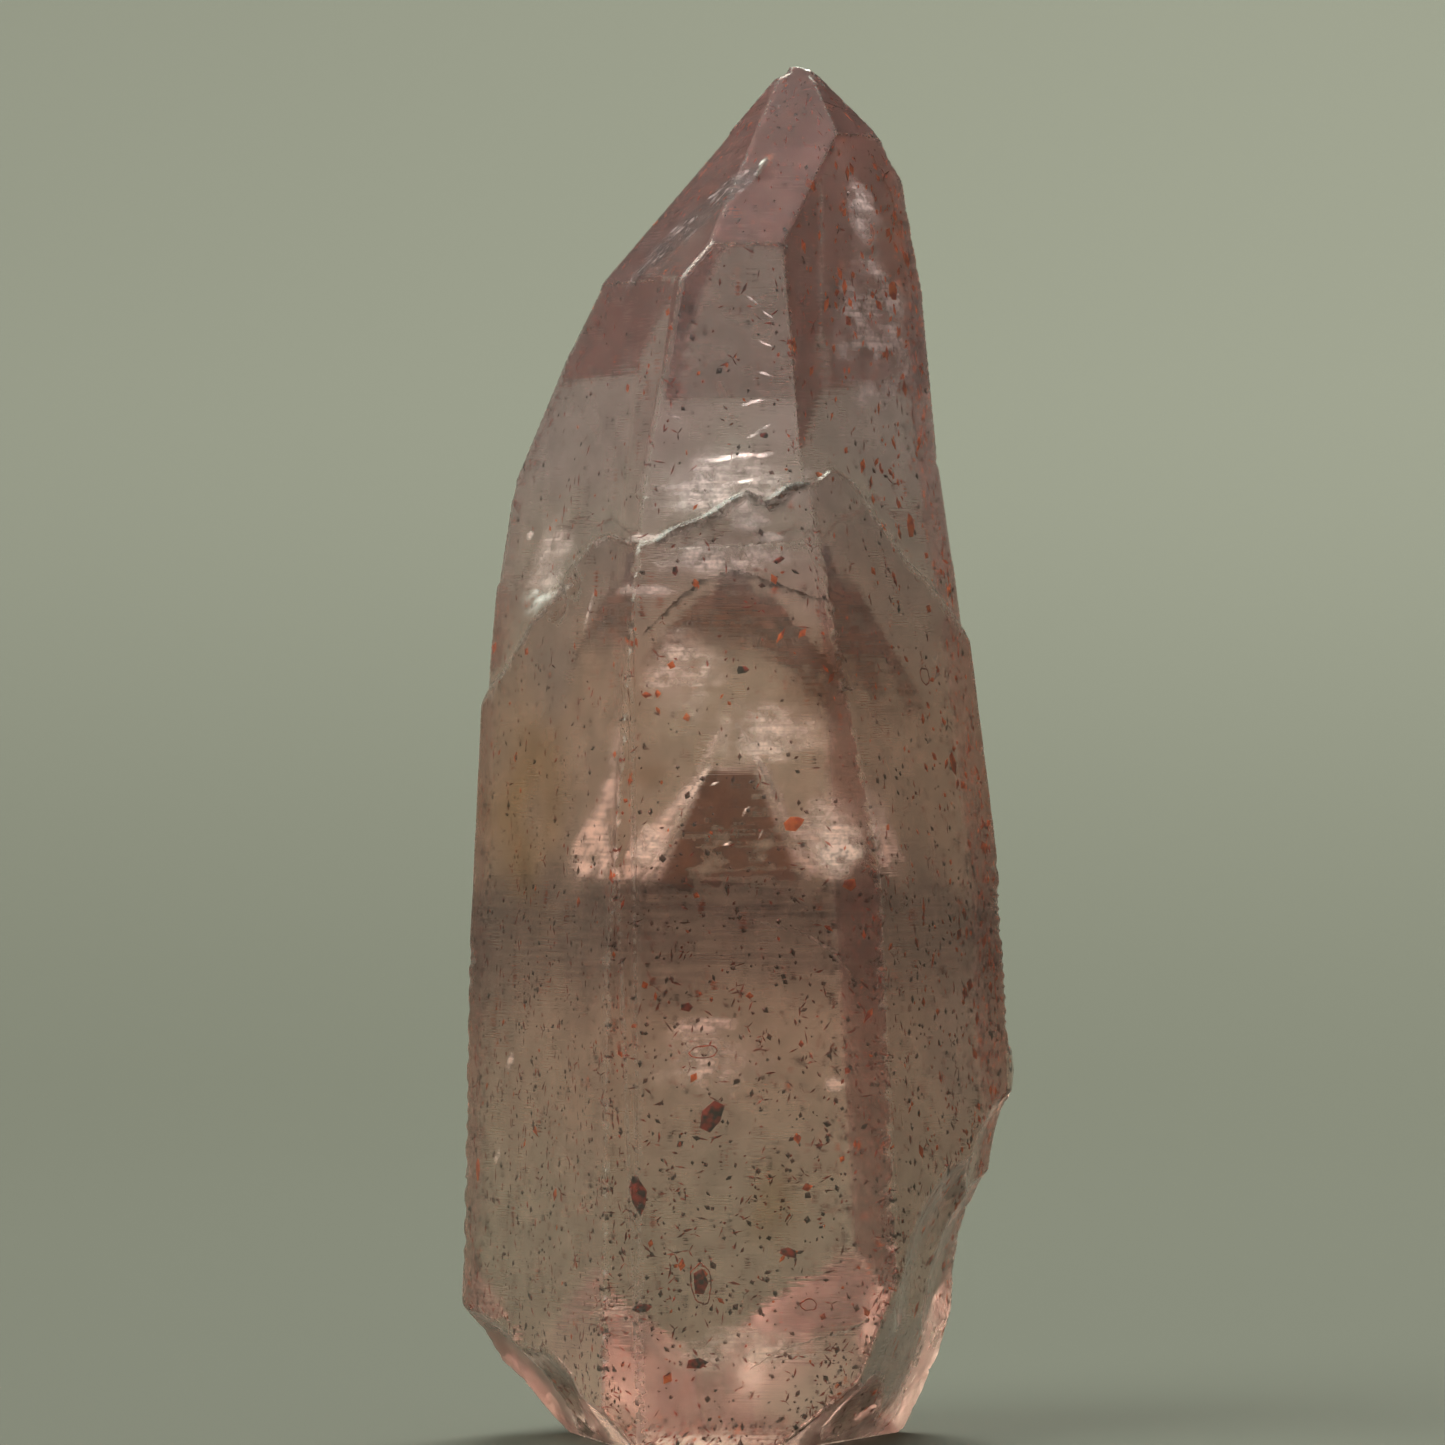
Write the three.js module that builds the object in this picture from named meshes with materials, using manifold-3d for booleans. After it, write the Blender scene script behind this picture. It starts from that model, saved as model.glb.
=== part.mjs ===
// A phantom amethyst point: one quartz crystal, about 42 mm tall, standing on the
// flat cut where it was taken off its rock. Millimetres, +Z up, and -Y is the front.
//
// The crystal is two bodies grown as one. The core is the whole six-sided point with
// its six slanting tip faces. The coat is a later layer of quartz round its lower two
// thirds, which stops at an uneven ledge. Fracture scoops then break the foot, and
// small chips nick the edges.
import * as THREE from "three";
import { mergeVertices } from "three/addons/utils/BufferGeometryUtils.js";
import Module from "manifold-3d";

const wasm = await Module();
wasm.setup();

// Driving dimensions
const HEIGHT = 41.9;
const COAT_THICKNESS = 0.15;
const GROWTH_STEP = 0.05;
const BLANK = 60;
const SEAM_OVERLAP = 0.6;

// A face looks along its azimuth, in degrees from the front towards +X. It slopes up
// by slope degrees, and passes through the point that lies reach mm from the axis at
// the height given by at.
const front = { azimuth: 0, slope: 0.6, reach: 7.02, at: 12 };
const leftLow = { azimuth: -60, slope: 1.0, reach: 6.96, at: 12.4 };
const leftMiddle = { azimuth: -60, slope: 3.6, reach: 6.6, at: 19.8 };
const leftHigh = { azimuth: -60, slope: 8.8, reach: 5.3, at: 32.5 };
const rightLow = { azimuth: 55, slope: 2.3, reach: 7.55, at: 13.9 };
const rightMiddle = { azimuth: 55, slope: 9.0, reach: 6.37, at: 24 };
const rightHigh = { azimuth: 55, slope: 4.1, reach: 4.84, at: 36.2 };
const backLeftLow = { azimuth: -120, slope: 1.0, reach: 7.4, at: 18 };
const backLeftMiddle = { azimuth: -120, slope: 5.0, reach: 7.35, at: 22.9 };
const backLeftHigh = { azimuth: -120, slope: 12.0, reach: 7.0, at: 25.8 };
const backRightLow = { azimuth: 120, slope: 3.2, reach: 6.2, at: 13.4 };
const backRightMiddle = { azimuth: 120, slope: 5.0, reach: 5.45, at: 26.8 };
const backRightHigh = { azimuth: 120, slope: 13.0, reach: 4.2, at: 36.6 };
const backLow = { azimuth: 180, slope: 1.2, reach: 7.05, at: 12 };
const backMiddle = { azimuth: 180, slope: 4.0, reach: 6.65, at: 26 };
const backHigh = { azimuth: 180, slope: 7.0, reach: 6.1, at: 30 };
const tipFaces = [
  { azimuth: 0, slope: 38.9, reach: 6.62, at: 36.2 },
  { azimuth: -60, slope: 37.0, reach: 4.12, at: 36.2 },
  { azimuth: -120, slope: 36.0, reach: 4.0, at: 33.1 },
  { azimuth: -120, slope: 30.5, reach: 4.98, at: 31.4 },
  { azimuth: 55, slope: 39.0, reach: 4.69, at: 39.55 },
  { azimuth: 120, slope: 40.0, reach: 2.59, at: 39.8 },
  { azimuth: 180, slope: 38.2, reach: -2.0, at: 41.75 },
];
const bluntTip = { azimuth: 90, slope: 86, reach: 0, at: HEIGHT };

// The coat's right flank leans in faster than the core does above the ledge, so the
// core is joined from its point and from a copy of that flank which ends below flankTop
const evenSides = [
  front, leftLow, leftMiddle, rightLow,
  backLeftLow, backLeftMiddle, backRightLow, backRightMiddle, backLow, backMiddle,
];
const coatSides = [...evenSides, rightMiddle];
const upperSides = [leftHigh, backLeftHigh, backRightHigh, backHigh];
const flankTop = { azimuth: 0, slope: 90, reach: 0, at: 29.9 };

// The ledge, as x and z from the left silhouette to the right one
const frontLedge = [
  [-7.85, 22.7], [-7.1, 23.6], [-6.35, 24.95], [-5.65, 25.65], [-5.2, 26.45],
  [-4.7, 27.0], [-4.4, 27.4], [-3.95, 27.5], [-3.2, 27.15], [-2.55, 27.3],
  [-2.1, 27.65], [-1.05, 28.05], [-0.4, 28.5], [0.2, 28.8], [0.8, 28.5],
  [1.4, 28.95], [2.4, 29.15], [2.75, 29.5], [3.3, 29.15], [4.05, 28.1],
  [5.0, 26.75], [5.7, 26.15], [6.25, 25.45], [7.0, 24.5],
];
const backLedge = [
  [-7.85, 22.7], [-6.9, 23.9], [-6.2, 24.3], [-5.4, 25.6], [-4.3, 26.2],
  [-3.6, 25.9], [-2.2, 27.1], [-1.0, 27.4], [-0.2, 27.9], [0.9, 27.4],
  [1.8, 27.8], [2.9, 26.9], [3.8, 26.7], [4.6, 25.8], [5.5, 25.6], [7.0, 24.5],
];
const growthStepLine = [[-3.4, 27.0], [0.05, 27.15], [2.0, 27.25]];

// The foot broke off in scoops: flat slices first, then shell-shaped hollows in them
const foot = [
  {
    slice: { azimuth: 76, slope: -21, reach: 6.08, at: 4.55 },
    hollows: [
      { along: -2.6, at: 6.3, radius: 8.0, depth: 0.6 },
      { along: 1.6, at: 5.7, radius: 7.0, depth: 0.6 },
      { along: 0.1, at: 9.0, radius: 4.2, depth: 0.4 },
    ],
  },
  {
    slice: { azimuth: 66, slope: -48, reach: 5.3, at: 1.4 },
    hollows: [
      { along: -2.4, at: 1.5, radius: 5.0, depth: 0.4 },
      { along: 1.3, at: 2.0, radius: 6.0, depth: 0.5 },
    ],
  },
  {
    slice: { azimuth: -76, slope: -42, reach: 6.45, at: 2.0 },
    hollows: [
      { along: 2.5, at: 1.9, radius: 6.0, depth: 0.45 },
      { along: -1.6, at: 2.1, radius: 7.0, depth: 0.55 },
    ],
  },
  {
    slice: { azimuth: 152, slope: -33, reach: 5.9, at: 2.4 },
    hollows: [
      { along: 0.9, at: 2.5, radius: 7.0, depth: 0.55 },
      { along: -2.6, at: 3.0, radius: 6.0, depth: 0.5 },
    ],
  },
  {
    slice: { azimuth: -142, slope: -38, reach: 6.2, at: 1.8 },
    hollows: [{ along: 0.4, at: 2.2, radius: 7.0, depth: 0.6 }],
  },
];

// A scale of later quartz stands proud of the right edge
const edgeScale = { x: 7.95, y: -0.6, z: 11.25, halfWidth: 0.42, halfDepth: 0.8, halfHeight: 1.15 };

// Larger chips, then the runs of nicks along the upright edges
const chips = [
  { x: -6.12, y: -3.05, z: 25.62, radius: 0.92 },
  { x: -5.42, y: -3.9, z: 26.1, radius: 0.62 },
  { x: 1.2, y: -2.2, z: 41.78, radius: 0.32 },
  { x: 2.4, y: -2.35, z: 41.55, radius: 0.26 },
  { x: 4.35, y: -1.9, z: 39.8, radius: 0.22 },
  { x: 7.98, y: -0.9, z: 17.3, radius: 0.34 },
  { x: 2.6, y: -6.72, z: 29.4, radius: 0.24 },
  { x: -8.62, y: 0.4, z: 8.1, radius: 0.3 },
  { x: -4.62, y: -2.4, z: 34.9, radius: 0.22 },
];
const NICKS_PER_RUN = 14;
const NICK_RADIUS = 0.14;
const nickedEdges = [
  { sides: [front, leftLow], from: 2.5, to: 15.5 },
  { sides: [front, leftMiddle], from: 15.5, to: 26.5 },
  { sides: [front, rightLow], from: 5.5, to: 17.2 },
  { sides: [front, rightMiddle], from: 17.4, to: 27 },
  { sides: [leftLow, backLeftLow], from: 5, to: 15 },
  { sides: [rightLow, backRightLow], from: 12.5, to: 17 },
  { sides: [backLow, backLeftLow], from: 4, to: 20 },
  { sides: [backLow, backRightLow], from: 4, to: 16 },
];

const UP = new THREE.Vector3(0, 0, 1);

// Closed three.js geometry to a solid that can be joined and cut
function toSolid(geometry) {
  const bare = geometry.clone();
  bare.deleteAttribute("normal");
  bare.deleteAttribute("uv");
  const merged = mergeVertices(bare, 1e-4);
  const mesh = new wasm.Mesh({
    numProp: 3,
    vertProperties: new Float32Array(merged.attributes.position.array),
    triVerts: new Uint32Array(merged.index.array),
  });
  return new wasm.Manifold(mesh);
}

function toGeometry(solid) {
  const mesh = solid.getMesh();
  const geometry = new THREE.BufferGeometry();
  geometry.setAttribute("position", new THREE.BufferAttribute(mesh.vertProperties, 3));
  geometry.setIndex(new THREE.BufferAttribute(mesh.triVerts, 1));
  return geometry;
}

function heading(azimuth) {
  const turn = THREE.MathUtils.degToRad(azimuth);
  return new THREE.Vector3(Math.sin(turn), -Math.cos(turn), 0);
}

function outwardNormal({ azimuth, slope }) {
  const rise = THREE.MathUtils.degToRad(slope);
  return heading(azimuth).multiplyScalar(Math.cos(rise)).setZ(Math.sin(rise));
}

function reachAt(face, z) {
  return face.reach - (z - face.at) * Math.tan(THREE.MathUtils.degToRad(face.slope));
}

// Everything outside one face, as a large box that lies against it
function outside(face) {
  const box = new THREE.BoxGeometry(2 * BLANK, 2 * BLANK, 2 * BLANK);
  box.translate(0, 0, BLANK);
  box.applyQuaternion(new THREE.Quaternion().setFromUnitVectors(UP, outwardNormal(face)));
  const onFace = heading(face.azimuth).multiplyScalar(face.reach).setZ(face.at);
  box.translate(onFace.x, onFace.y, onFace.z);
  return toSolid(box);
}

function cutByFaces(solid, faces) {
  return faces.reduce((rest, face) => rest.subtract(outside(face)), solid);
}

function blank() {
  const box = new THREE.BoxGeometry(BLANK, BLANK, BLANK);
  box.translate(0, 0, BLANK / 2);
  return toSolid(box);
}

function inset(face, depth) {
  return { ...face, reach: face.reach - depth };
}

// The space below a line of x and z points, from the middle plane out to one side
function below(line, side) {
  const [first, last] = [line[0], line[line.length - 1]];
  const outline = new THREE.Shape([
    new THREE.Vector2(-BLANK, -1),
    new THREE.Vector2(BLANK, -1),
    new THREE.Vector2(BLANK, last[1]),
    ...line.toReversed().map(([x, z]) => new THREE.Vector2(x, z)),
    new THREE.Vector2(-BLANK, first[1]),
  ]);
  const space = new THREE.ExtrudeGeometry(outline, { depth: BLANK, bevelEnabled: false });
  space.rotateX(Math.PI / 2);
  space.translate(0, side === "front" ? SEAM_OVERLAP : BLANK + SEAM_OVERLAP / 2, 0);
  return toSolid(space);
}

function ball({ x, y, z, radius }, detail) {
  const geometry = new THREE.IcosahedronGeometry(radius, detail);
  geometry.rotateZ(x + z);
  geometry.translate(x, y, z);
  return toSolid(geometry);
}

function makeCore() {
  const insideCoat = (faces) => faces.map((face) => inset(face, COAT_THICKNESS));
  const pointFaces = [...upperSides, ...tipFaces, bluntTip];
  const point = cutByFaces(blank(), [...insideCoat(evenSides), rightHigh, ...pointFaces]);
  const flank = cutByFaces(blank(), [...insideCoat(coatSides), ...pointFaces, flankTop]);
  return point.add(flank);
}

function makeCoat() {
  const beneathLedge = below(frontLedge, "front").add(below(backLedge, "back"));
  const whole = cutByFaces(blank(), coatSides).intersect(beneathLedge);
  const aboveStep = blank()
    .subtract(below(growthStepLine, "front"))
    .intersect(outside(inset(front, GROWTH_STEP)));
  return whole.subtract(aboveStep);
}

function makeEdgeScale() {
  const scale = new THREE.IcosahedronGeometry(1, 1);
  scale.scale(edgeScale.halfWidth, edgeScale.halfDepth, edgeScale.halfHeight);
  scale.translate(edgeScale.x, edgeScale.y, edgeScale.z);
  return toSolid(scale);
}

// The point at one height where two upright faces meet
function crossing([first, second], z) {
  const [a, b] = [heading(first.azimuth), heading(second.azimuth)];
  const [p, q] = [reachAt(first, z), reachAt(second, z)];
  const size = a.x * b.y - a.y * b.x;
  return new THREE.Vector3((p * b.y - q * a.y) / size, (q * a.x - p * b.x) / size, z);
}

// Nicks sit unevenly along an edge, by turns of the golden ratio, so none line up
function nicksAlong({ sides, from, to }, runNumber) {
  const GOLDEN = 0.618;
  return Array.from({ length: NICKS_PER_RUN }, (_, index) => {
    const along = (0.37 * runNumber + GOLDEN * index) % 1;
    const size = 0.55 + ((GOLDEN * GOLDEN * (index + 3 * runNumber)) % 1) * 0.75;
    const middle = crossing(sides, from + along * (to - from));
    return { x: middle.x, y: middle.y, z: middle.z, radius: NICK_RADIUS * size };
  });
}

// A shell-shaped hollow that dips into a slice by its depth
function hollowBall(slice, { along, at, radius, depth }) {
  const outward = heading(slice.azimuth);
  const sideways = new THREE.Vector3(-outward.y, outward.x, 0);
  const middle = outward
    .multiplyScalar(reachAt(slice, at))
    .addScaledVector(sideways, along)
    .setZ(at)
    .addScaledVector(outwardNormal(slice), radius - depth);
  return ball({ x: middle.x, y: middle.y, z: middle.z, radius }, 5);
}

function breakFoot(crystal) {
  let broken = cutByFaces(crystal, foot.map(({ slice }) => slice));
  for (const { slice, hollows } of foot) {
    for (const hollow of hollows) broken = broken.subtract(hollowBall(slice, hollow));
  }
  return broken;
}

function makeCrystal() {
  let crystal = breakFoot(makeCore().add(makeCoat()).add(makeEdgeScale()));
  for (const chip of chips) crystal = crystal.subtract(ball(chip, 1));
  for (const nick of nickedEdges.flatMap(nicksAlong)) crystal = crystal.subtract(ball(nick, 0));
  return toGeometry(crystal);
}

// The foot's cut stays at z = 0, with the middle of the crystal's box on the axis
function centred(geometry) {
  geometry.computeBoundingBox();
  const middle = geometry.boundingBox.getCenter(new THREE.Vector3());
  geometry.translate(-middle.x, -middle.y, -geometry.boundingBox.min.z);
  geometry.computeVertexNormals();
  return geometry;
}

const paleAmethyst = new THREE.MeshStandardMaterial({
  name: "pale amethyst",
  color: 0xc4a9ad,
  roughness: 0.12,
  metalness: 0,
});

const crystalPoint = new THREE.Mesh(centred(makeCrystal()), paleAmethyst);
crystalPoint.name = "quartz_point";

const group = new THREE.Group();
group.add(crystalPoint);

export default group;
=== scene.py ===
"""Looks of a phantom amethyst point.

One quartz crystal with ghost faces, veils, dust and iron minerals inside it.
"""

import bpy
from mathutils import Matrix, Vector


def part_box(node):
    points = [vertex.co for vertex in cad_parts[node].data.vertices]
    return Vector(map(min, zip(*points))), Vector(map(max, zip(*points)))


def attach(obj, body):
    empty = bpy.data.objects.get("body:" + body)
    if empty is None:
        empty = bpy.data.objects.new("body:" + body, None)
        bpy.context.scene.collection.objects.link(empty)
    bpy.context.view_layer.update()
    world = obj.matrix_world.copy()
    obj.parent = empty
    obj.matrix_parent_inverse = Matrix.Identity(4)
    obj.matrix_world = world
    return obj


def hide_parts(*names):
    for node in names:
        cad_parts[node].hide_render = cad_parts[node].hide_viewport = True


bl_info = {
    "name": "Phantom Amethyst Point",
    "version": (1, 0, 0),
    "blender": (4, 5, 0),
    "location": "View3D > Sidebar > Amethyst",
    "description": "Builds the crystal, what grew inside it and its studio stage",
    "category": "Object",
}

import math

import bmesh
import bpy
import numpy as np
from mathutils import Vector, noise
from mathutils.bvhtree import BVHTree
from mathutils.kdtree import KDTree

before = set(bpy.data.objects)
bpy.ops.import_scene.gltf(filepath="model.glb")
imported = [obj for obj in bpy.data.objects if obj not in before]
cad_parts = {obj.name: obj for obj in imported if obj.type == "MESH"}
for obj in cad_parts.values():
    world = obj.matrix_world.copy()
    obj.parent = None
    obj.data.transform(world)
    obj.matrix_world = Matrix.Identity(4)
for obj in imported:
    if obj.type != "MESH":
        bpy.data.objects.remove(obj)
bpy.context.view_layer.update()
CRYSTAL_NODE = "quartz_point"
MM = 0.001

# The photograph's view, in mm: level, from the front, with a long lens
VIEW_PLACE = (-0.461, -300.05, 21.86)
VIEW_WIDTH = 44.217
VIEW_DISTANCE = 300
SENSOR = 36

# How strongly quartz bends light
QUARTZ_INDEX = 1.544


def solid_tree():
    """A search tree of the crystal's own solid, in metres."""
    mesh = bmesh.new()
    mesh.from_mesh(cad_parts[CRYSTAL_NODE].data)
    tree = BVHTree.FromBMesh(mesh)
    mesh.free()
    return tree


SOLID = solid_tree()
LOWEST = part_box(CRYSTAL_NODE)[0].z


# Shader helpers

def fill(tree, node, inputs):
    """Gives a node its inputs: sockets are linked, and other values are set."""
    for key, value in inputs.items():
        if isinstance(value, bpy.types.NodeSocket):
            tree.links.new(value, node.inputs[key])
        else:
            node.inputs[key].default_value = value


def put(tree, kind, inputs=None, **settings):
    """Adds a shader node with its options and inputs."""
    node = tree.nodes.new("ShaderNode" + kind)
    for name, value in settings.items():
        setattr(node, name, value)
    fill(tree, node, inputs or {})
    return node


def maths(tree, operation, *values):
    """The result of arithmetic on sockets and numbers."""
    return put(tree, "Math", dict(enumerate(values)), operation=operation).outputs[0]


def vector(tree, operation, *values):
    """The result of arithmetic on places and directions."""
    node = put(tree, "VectorMath", dict(enumerate(values)), operation=operation)
    return node.outputs["Value" if operation == "LENGTH" else "Vector"]


def mix(tree, share, first, second):
    """A colour part of the way from first to second."""
    return put(tree, "Mix", {0: share, 6: first, 7: second}, data_type="RGBA").outputs[2]


def ease(tree, value, start, end, low=0.0, high=1.0):
    """Goes smoothly from low to high while value goes from start to end."""
    inputs = {"Value": value, "From Min": start, "From Max": end, "To Min": low, "To Max": high}
    return put(tree, "MapRange", inputs, interpolation_type="SMOOTHSTEP").outputs[0]


def brightened(tree, colour, lift):
    """A colour made lighter or darker by a factor."""
    grey = put(tree, "CombineXYZ", {0: lift, 1: lift, 2: lift}).outputs[0]
    return vector(tree, "MULTIPLY", colour, grey)


def grain(tree, place, scale, detail, roughness=0.55):
    """Cloudy noise from 0 to 1."""
    inputs = {"Vector": place, "Scale": scale, "Detail": detail, "Roughness": roughness}
    return put(tree, "TexNoise", inputs).outputs["Fac"]


def stretched(tree, place, x, y, z):
    """Places scaled along each axis, so that a pattern is drawn out where it is small."""
    return vector(tree, "MULTIPLY", place, (x, y, z))


def place_in_mm(tree):
    """Object coordinates, in millimetres."""
    coordinates = put(tree, "TexCoord").outputs["Object"]
    return vector(tree, "MULTIPLY", coordinates, (1000, 1000, 1000))


def new_group(name, inputs, outputs):
    """A shader node group; inputs and outputs map a socket's name to its type."""
    group = bpy.data.node_groups.new(name, "ShaderNodeTree")
    for socket, kind in inputs.items():
        group.interface.new_socket(name=socket, in_out="INPUT", socket_type="NodeSocket" + kind)
    for socket, kind in outputs.items():
        group.interface.new_socket(name=socket, in_out="OUTPUT", socket_type="NodeSocket" + kind)
    into = group.nodes.new("NodeGroupInput")
    out = group.nodes.new("NodeGroupOutput")
    return group, into.outputs, out.inputs


def use_group(tree, name, inputs):
    """Places a node group, built at its first use, and returns its outputs."""
    node = tree.nodes.new("ShaderNodeGroup")
    node.node_tree = bpy.data.node_groups.get(name) or GROUPS[name]()
    fill(tree, node, inputs)
    return node.outputs


def new_material(name):
    """A material with a Principled shader joined to its output."""
    material = bpy.data.materials.new(name)
    material.use_nodes = True
    tree = material.node_tree
    shader = tree.nodes["Principled BSDF"]
    return material, tree, shader


def rgba(colour):
    return (*colour[:3], 1.0)


def growth_lines_group():
    """Fine ridges across the prism faces, with a slow swell under them."""
    group, given, out = new_group(
        "Growth Lines", {"Place": "Vector"}, {"Height": "Float", "Bands": "Float"}
    )
    fine = grain(group, stretched(group, given["Place"], 0.35, 0.35, 9.0), 1.0, 1.0, 0.7)
    broad = grain(group, stretched(group, given["Place"], 0.22, 0.22, 2.2), 1.0, 0.0, 0.5)
    patches = ease(group, grain(group, given["Place"], 0.22, 0.0), 0.38, 0.6)
    clear = maths(group, "ADD", maths(group, "MULTIPLY", patches, 0.8), 0.2)
    lines = maths(group, "MULTIPLY", fine, clear)
    height = maths(group, "ADD", lines, maths(group, "MULTIPLY", broad, 0.7))
    group.links.new(height, out["Height"])
    group.links.new(ease(group, fine, 0.35, 0.65), out["Bands"])
    return group


def dusting_group():
    """Turns a smooth amount of dust into a cloudy, grainy covering."""
    group, given, out = new_group(
        "Dusting",
        {"Place": "Vector", "Amount": "Float", "Clump Scale": "Float", "Speck Scale": "Float"},
        {"Cover": "Float", "Shade": "Float"},
    )
    clumps = grain(group, given["Place"], given["Clump Scale"], 2.0, 0.65)
    specks = grain(group, given["Place"], given["Speck Scale"], 1.0, 0.7)
    lines = grain(group, stretched(group, given["Place"], 0.4, 0.4, 7.0), 1.0, 1.0, 0.6)
    cloudy = maths(
        group, "MULTIPLY", ease(group, clumps, 0.22, 0.6), ease(group, specks, 0.2, 0.75, 0.75, 1.25)
    )
    streaky = maths(group, "MULTIPLY", cloudy, ease(group, lines, 0.35, 0.65, 0.6, 1.3))
    cover = put(group, "Math", {0: streaky, 1: given["Amount"]}, operation="MULTIPLY", use_clamp=True)
    group.links.new(cover.outputs[0], out["Cover"])
    group.links.new(clumps, out["Shade"])
    return group


def mottling_group():
    """Mottles a mineral's colour and roughness from grain to grain."""
    group, given, out = new_group(
        "Mottling",
        {"Place": "Vector", "Light": "Color", "Dark": "Color", "Roughness": "Float"},
        {"Colour": "Color", "Roughness": "Float"},
    )
    patch = ease(group, grain(group, given["Place"], 3.6, 1.0), 0.36, 0.62)
    group.links.new(mix(group, patch, given["Dark"], given["Light"]), out["Colour"])
    smoother = maths(group, "MULTIPLY", given["Roughness"], 0.7)
    rougher = maths(group, "MULTIPLY", given["Roughness"], 1.3)
    rough = ease(group, grain(group, given["Place"], 11.0, 0.0), 0.3, 0.7, smoother, rougher)
    group.links.new(rough, out["Roughness"])
    return group


GROUPS = {"Growth Lines": growth_lines_group, "Dusting": dusting_group, "Mottling": mottling_group}


# Mesh helpers

def mm(*values):
    return Vector(values) * MM


def heading(azimuth):
    """Level direction at an azimuth, in degrees from the front towards +X."""
    turn = math.radians(azimuth)
    return Vector((math.sin(turn), -math.cos(turn), 0))


def finish_piece(piece, material, smooth=True):
    """Gives a piece its material and lets it ride with the crystal."""
    piece.data.materials.append(material)
    if smooth:
        piece.data.shade_smooth()
    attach(piece, "root")
    return piece


def new_piece(name, vertices, faces):
    mesh = bpy.data.meshes.new(name)
    mesh.from_pydata(vertices, [], faces)
    mesh.update()
    piece = bpy.data.objects.new(name, mesh)
    bpy.context.scene.collection.objects.link(piece)
    return piece


def set_values(mesh, name, values):
    """Stores one number for each vertex under a name that the materials read."""
    layer = mesh.attributes.new(name, "FLOAT", "POINT")
    layer.data.foreach_set("value", np.asarray(values, np.float32))


def set_paint(mesh, painted):
    """Stores a colour and a cover for each vertex, which the veil materials read."""
    full = np.ones((len(mesh.vertices), 4), np.float32)
    full[:, :3] = [colour for colour, _ in painted]
    layer = mesh.attributes.new("shade", "FLOAT_COLOR", "POINT")
    layer.data.foreach_set("color", full.ravel())
    set_values(mesh, "cover", [cover for _, cover in painted])


def triangles_of(mesh):
    """A mesh's triangles as vertex numbers and as corners in mm, and their face normals,
    with twice the area in square mm as their length."""
    mesh.calc_loop_triangles()
    points = np.array([vertex.co for vertex in mesh.vertices]) / MM
    triangles = np.array([triangle.vertices for triangle in mesh.loop_triangles])
    corners = points[triangles]
    return triangles, corners, np.cross(corners[:, 1] - corners[:, 0], corners[:, 2] - corners[:, 0])


def pick_places(corners, weight, count, dice):
    """Random places on triangles, more on those with more weight. Returns the places and
    the number of each one's triangle."""
    picked = dice.choice(len(corners), count, p=weight / weight.sum())
    first, second = np.sort(dice.random((2, count)), axis=0)
    shares = np.stack([first, second - first, 1 - second], 1)
    return np.einsum("nk,nkj->nj", shares, corners[picked]), picked


def turned_over(face, back):
    """A face of a piece's front, or the same face turned over for its back."""
    return tuple(reversed(face)) if back else face


def wobble(place, size, seed=0):
    """Smooth noise from -1 to 1, with features of about size millimetres."""
    return noise.noise(place / (size * MM) + Vector((seed * 7.3, seed * 3.1, seed * 5.7)))


def seen_at(x, z, depth):
    """The point depth mm behind the surface, on the line of sight bent by the quartz
    through (x, z) mm on the middle plane. Returns the place and the face's normal."""
    eye = mm(*VIEW_PLACE)
    sight = (mm(x, 0, z) - eye).normalized()
    hit, normal, _, _ = SOLID.ray_cast(eye, sight)
    if hit is None:
        raise ValueError(f"nothing of the crystal is seen at x {x} mm, z {z} mm")
    ratio = 1 / QUARTZ_INDEX
    facing = -normal.dot(sight)
    bent = ratio * facing - math.sqrt(1 - ratio ** 2 * (1 - facing ** 2))
    return hit + (ratio * sight + bent * normal) * depth * MM, normal


def seat_at(x, z, depth):
    """The place depth mm behind the face seen at (x, z) mm, with the level and the
    upward direction in that face, and the face's normal."""
    centre, normal = seen_at(x, z, depth)
    side = Vector((0, 0, 1)).cross(normal).normalized()
    return centre, side, normal.cross(side), normal


def lies_inside(point, margin):
    """Whether a point is in the crystal, and at least margin mm from its surface."""
    near, normal, _, distance = SOLID.find_nearest(point)
    return distance >= margin * MM and (point - near).dot(normal) < 0


# The crystal

# Points of the solid closer than WELD mm are one, and faces within FLAT degrees are one
WELD = 0.002
FLAT = 0.15

# Edges sharper than RIDGE degrees get worn, and are marked by points RIDGE_STEP mm apart
RIDGE = 24
RIDGE_STEP = 0.08

# Edges sharper than CREASE degrees stay crisp when the faces are shaded
CREASE = 20


def refine(mesh, ridges, settings):
    """Splits long edges a few times over, more finely close to the ridges."""
    for _ in range(settings.rounds):
        long_edges = []
        for edge in mesh.edges:
            length = edge.calc_length()
            if length <= settings.edge_grain:
                continue
            middle = (edge.verts[0].co + edge.verts[1].co) / 2
            away = ridges.find(middle)[2]
            if length > settings.face_grain or away < settings.edge_band / 2 + length / 4:
                long_edges.append(edge)
        bmesh.ops.subdivide_edges(mesh, edges=long_edges, cuts=1)
        cut = [face for face in mesh.faces if len(face.verts) > 3]
        bmesh.ops.triangulate(mesh, faces=cut, quad_method="BEAUTY", ngon_method="BEAUTY")


def ridge_points(mesh, angle, step):
    """A search tree of points along the crystal's sharp edges."""
    points = []
    for edge in mesh.edges:
        if len(edge.link_faces) == 2 and edge.calc_face_angle() > angle:
            start, end = (vertex.co for vertex in edge.verts)
            count = max(1, math.ceil((end - start).length / step))
            points.extend(start.lerp(end, k / count) for k in range(count + 1))
    tree = KDTree(len(points))
    for index, point in enumerate(points):
        tree.insert(point, index)
    tree.balance()
    return tree


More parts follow.
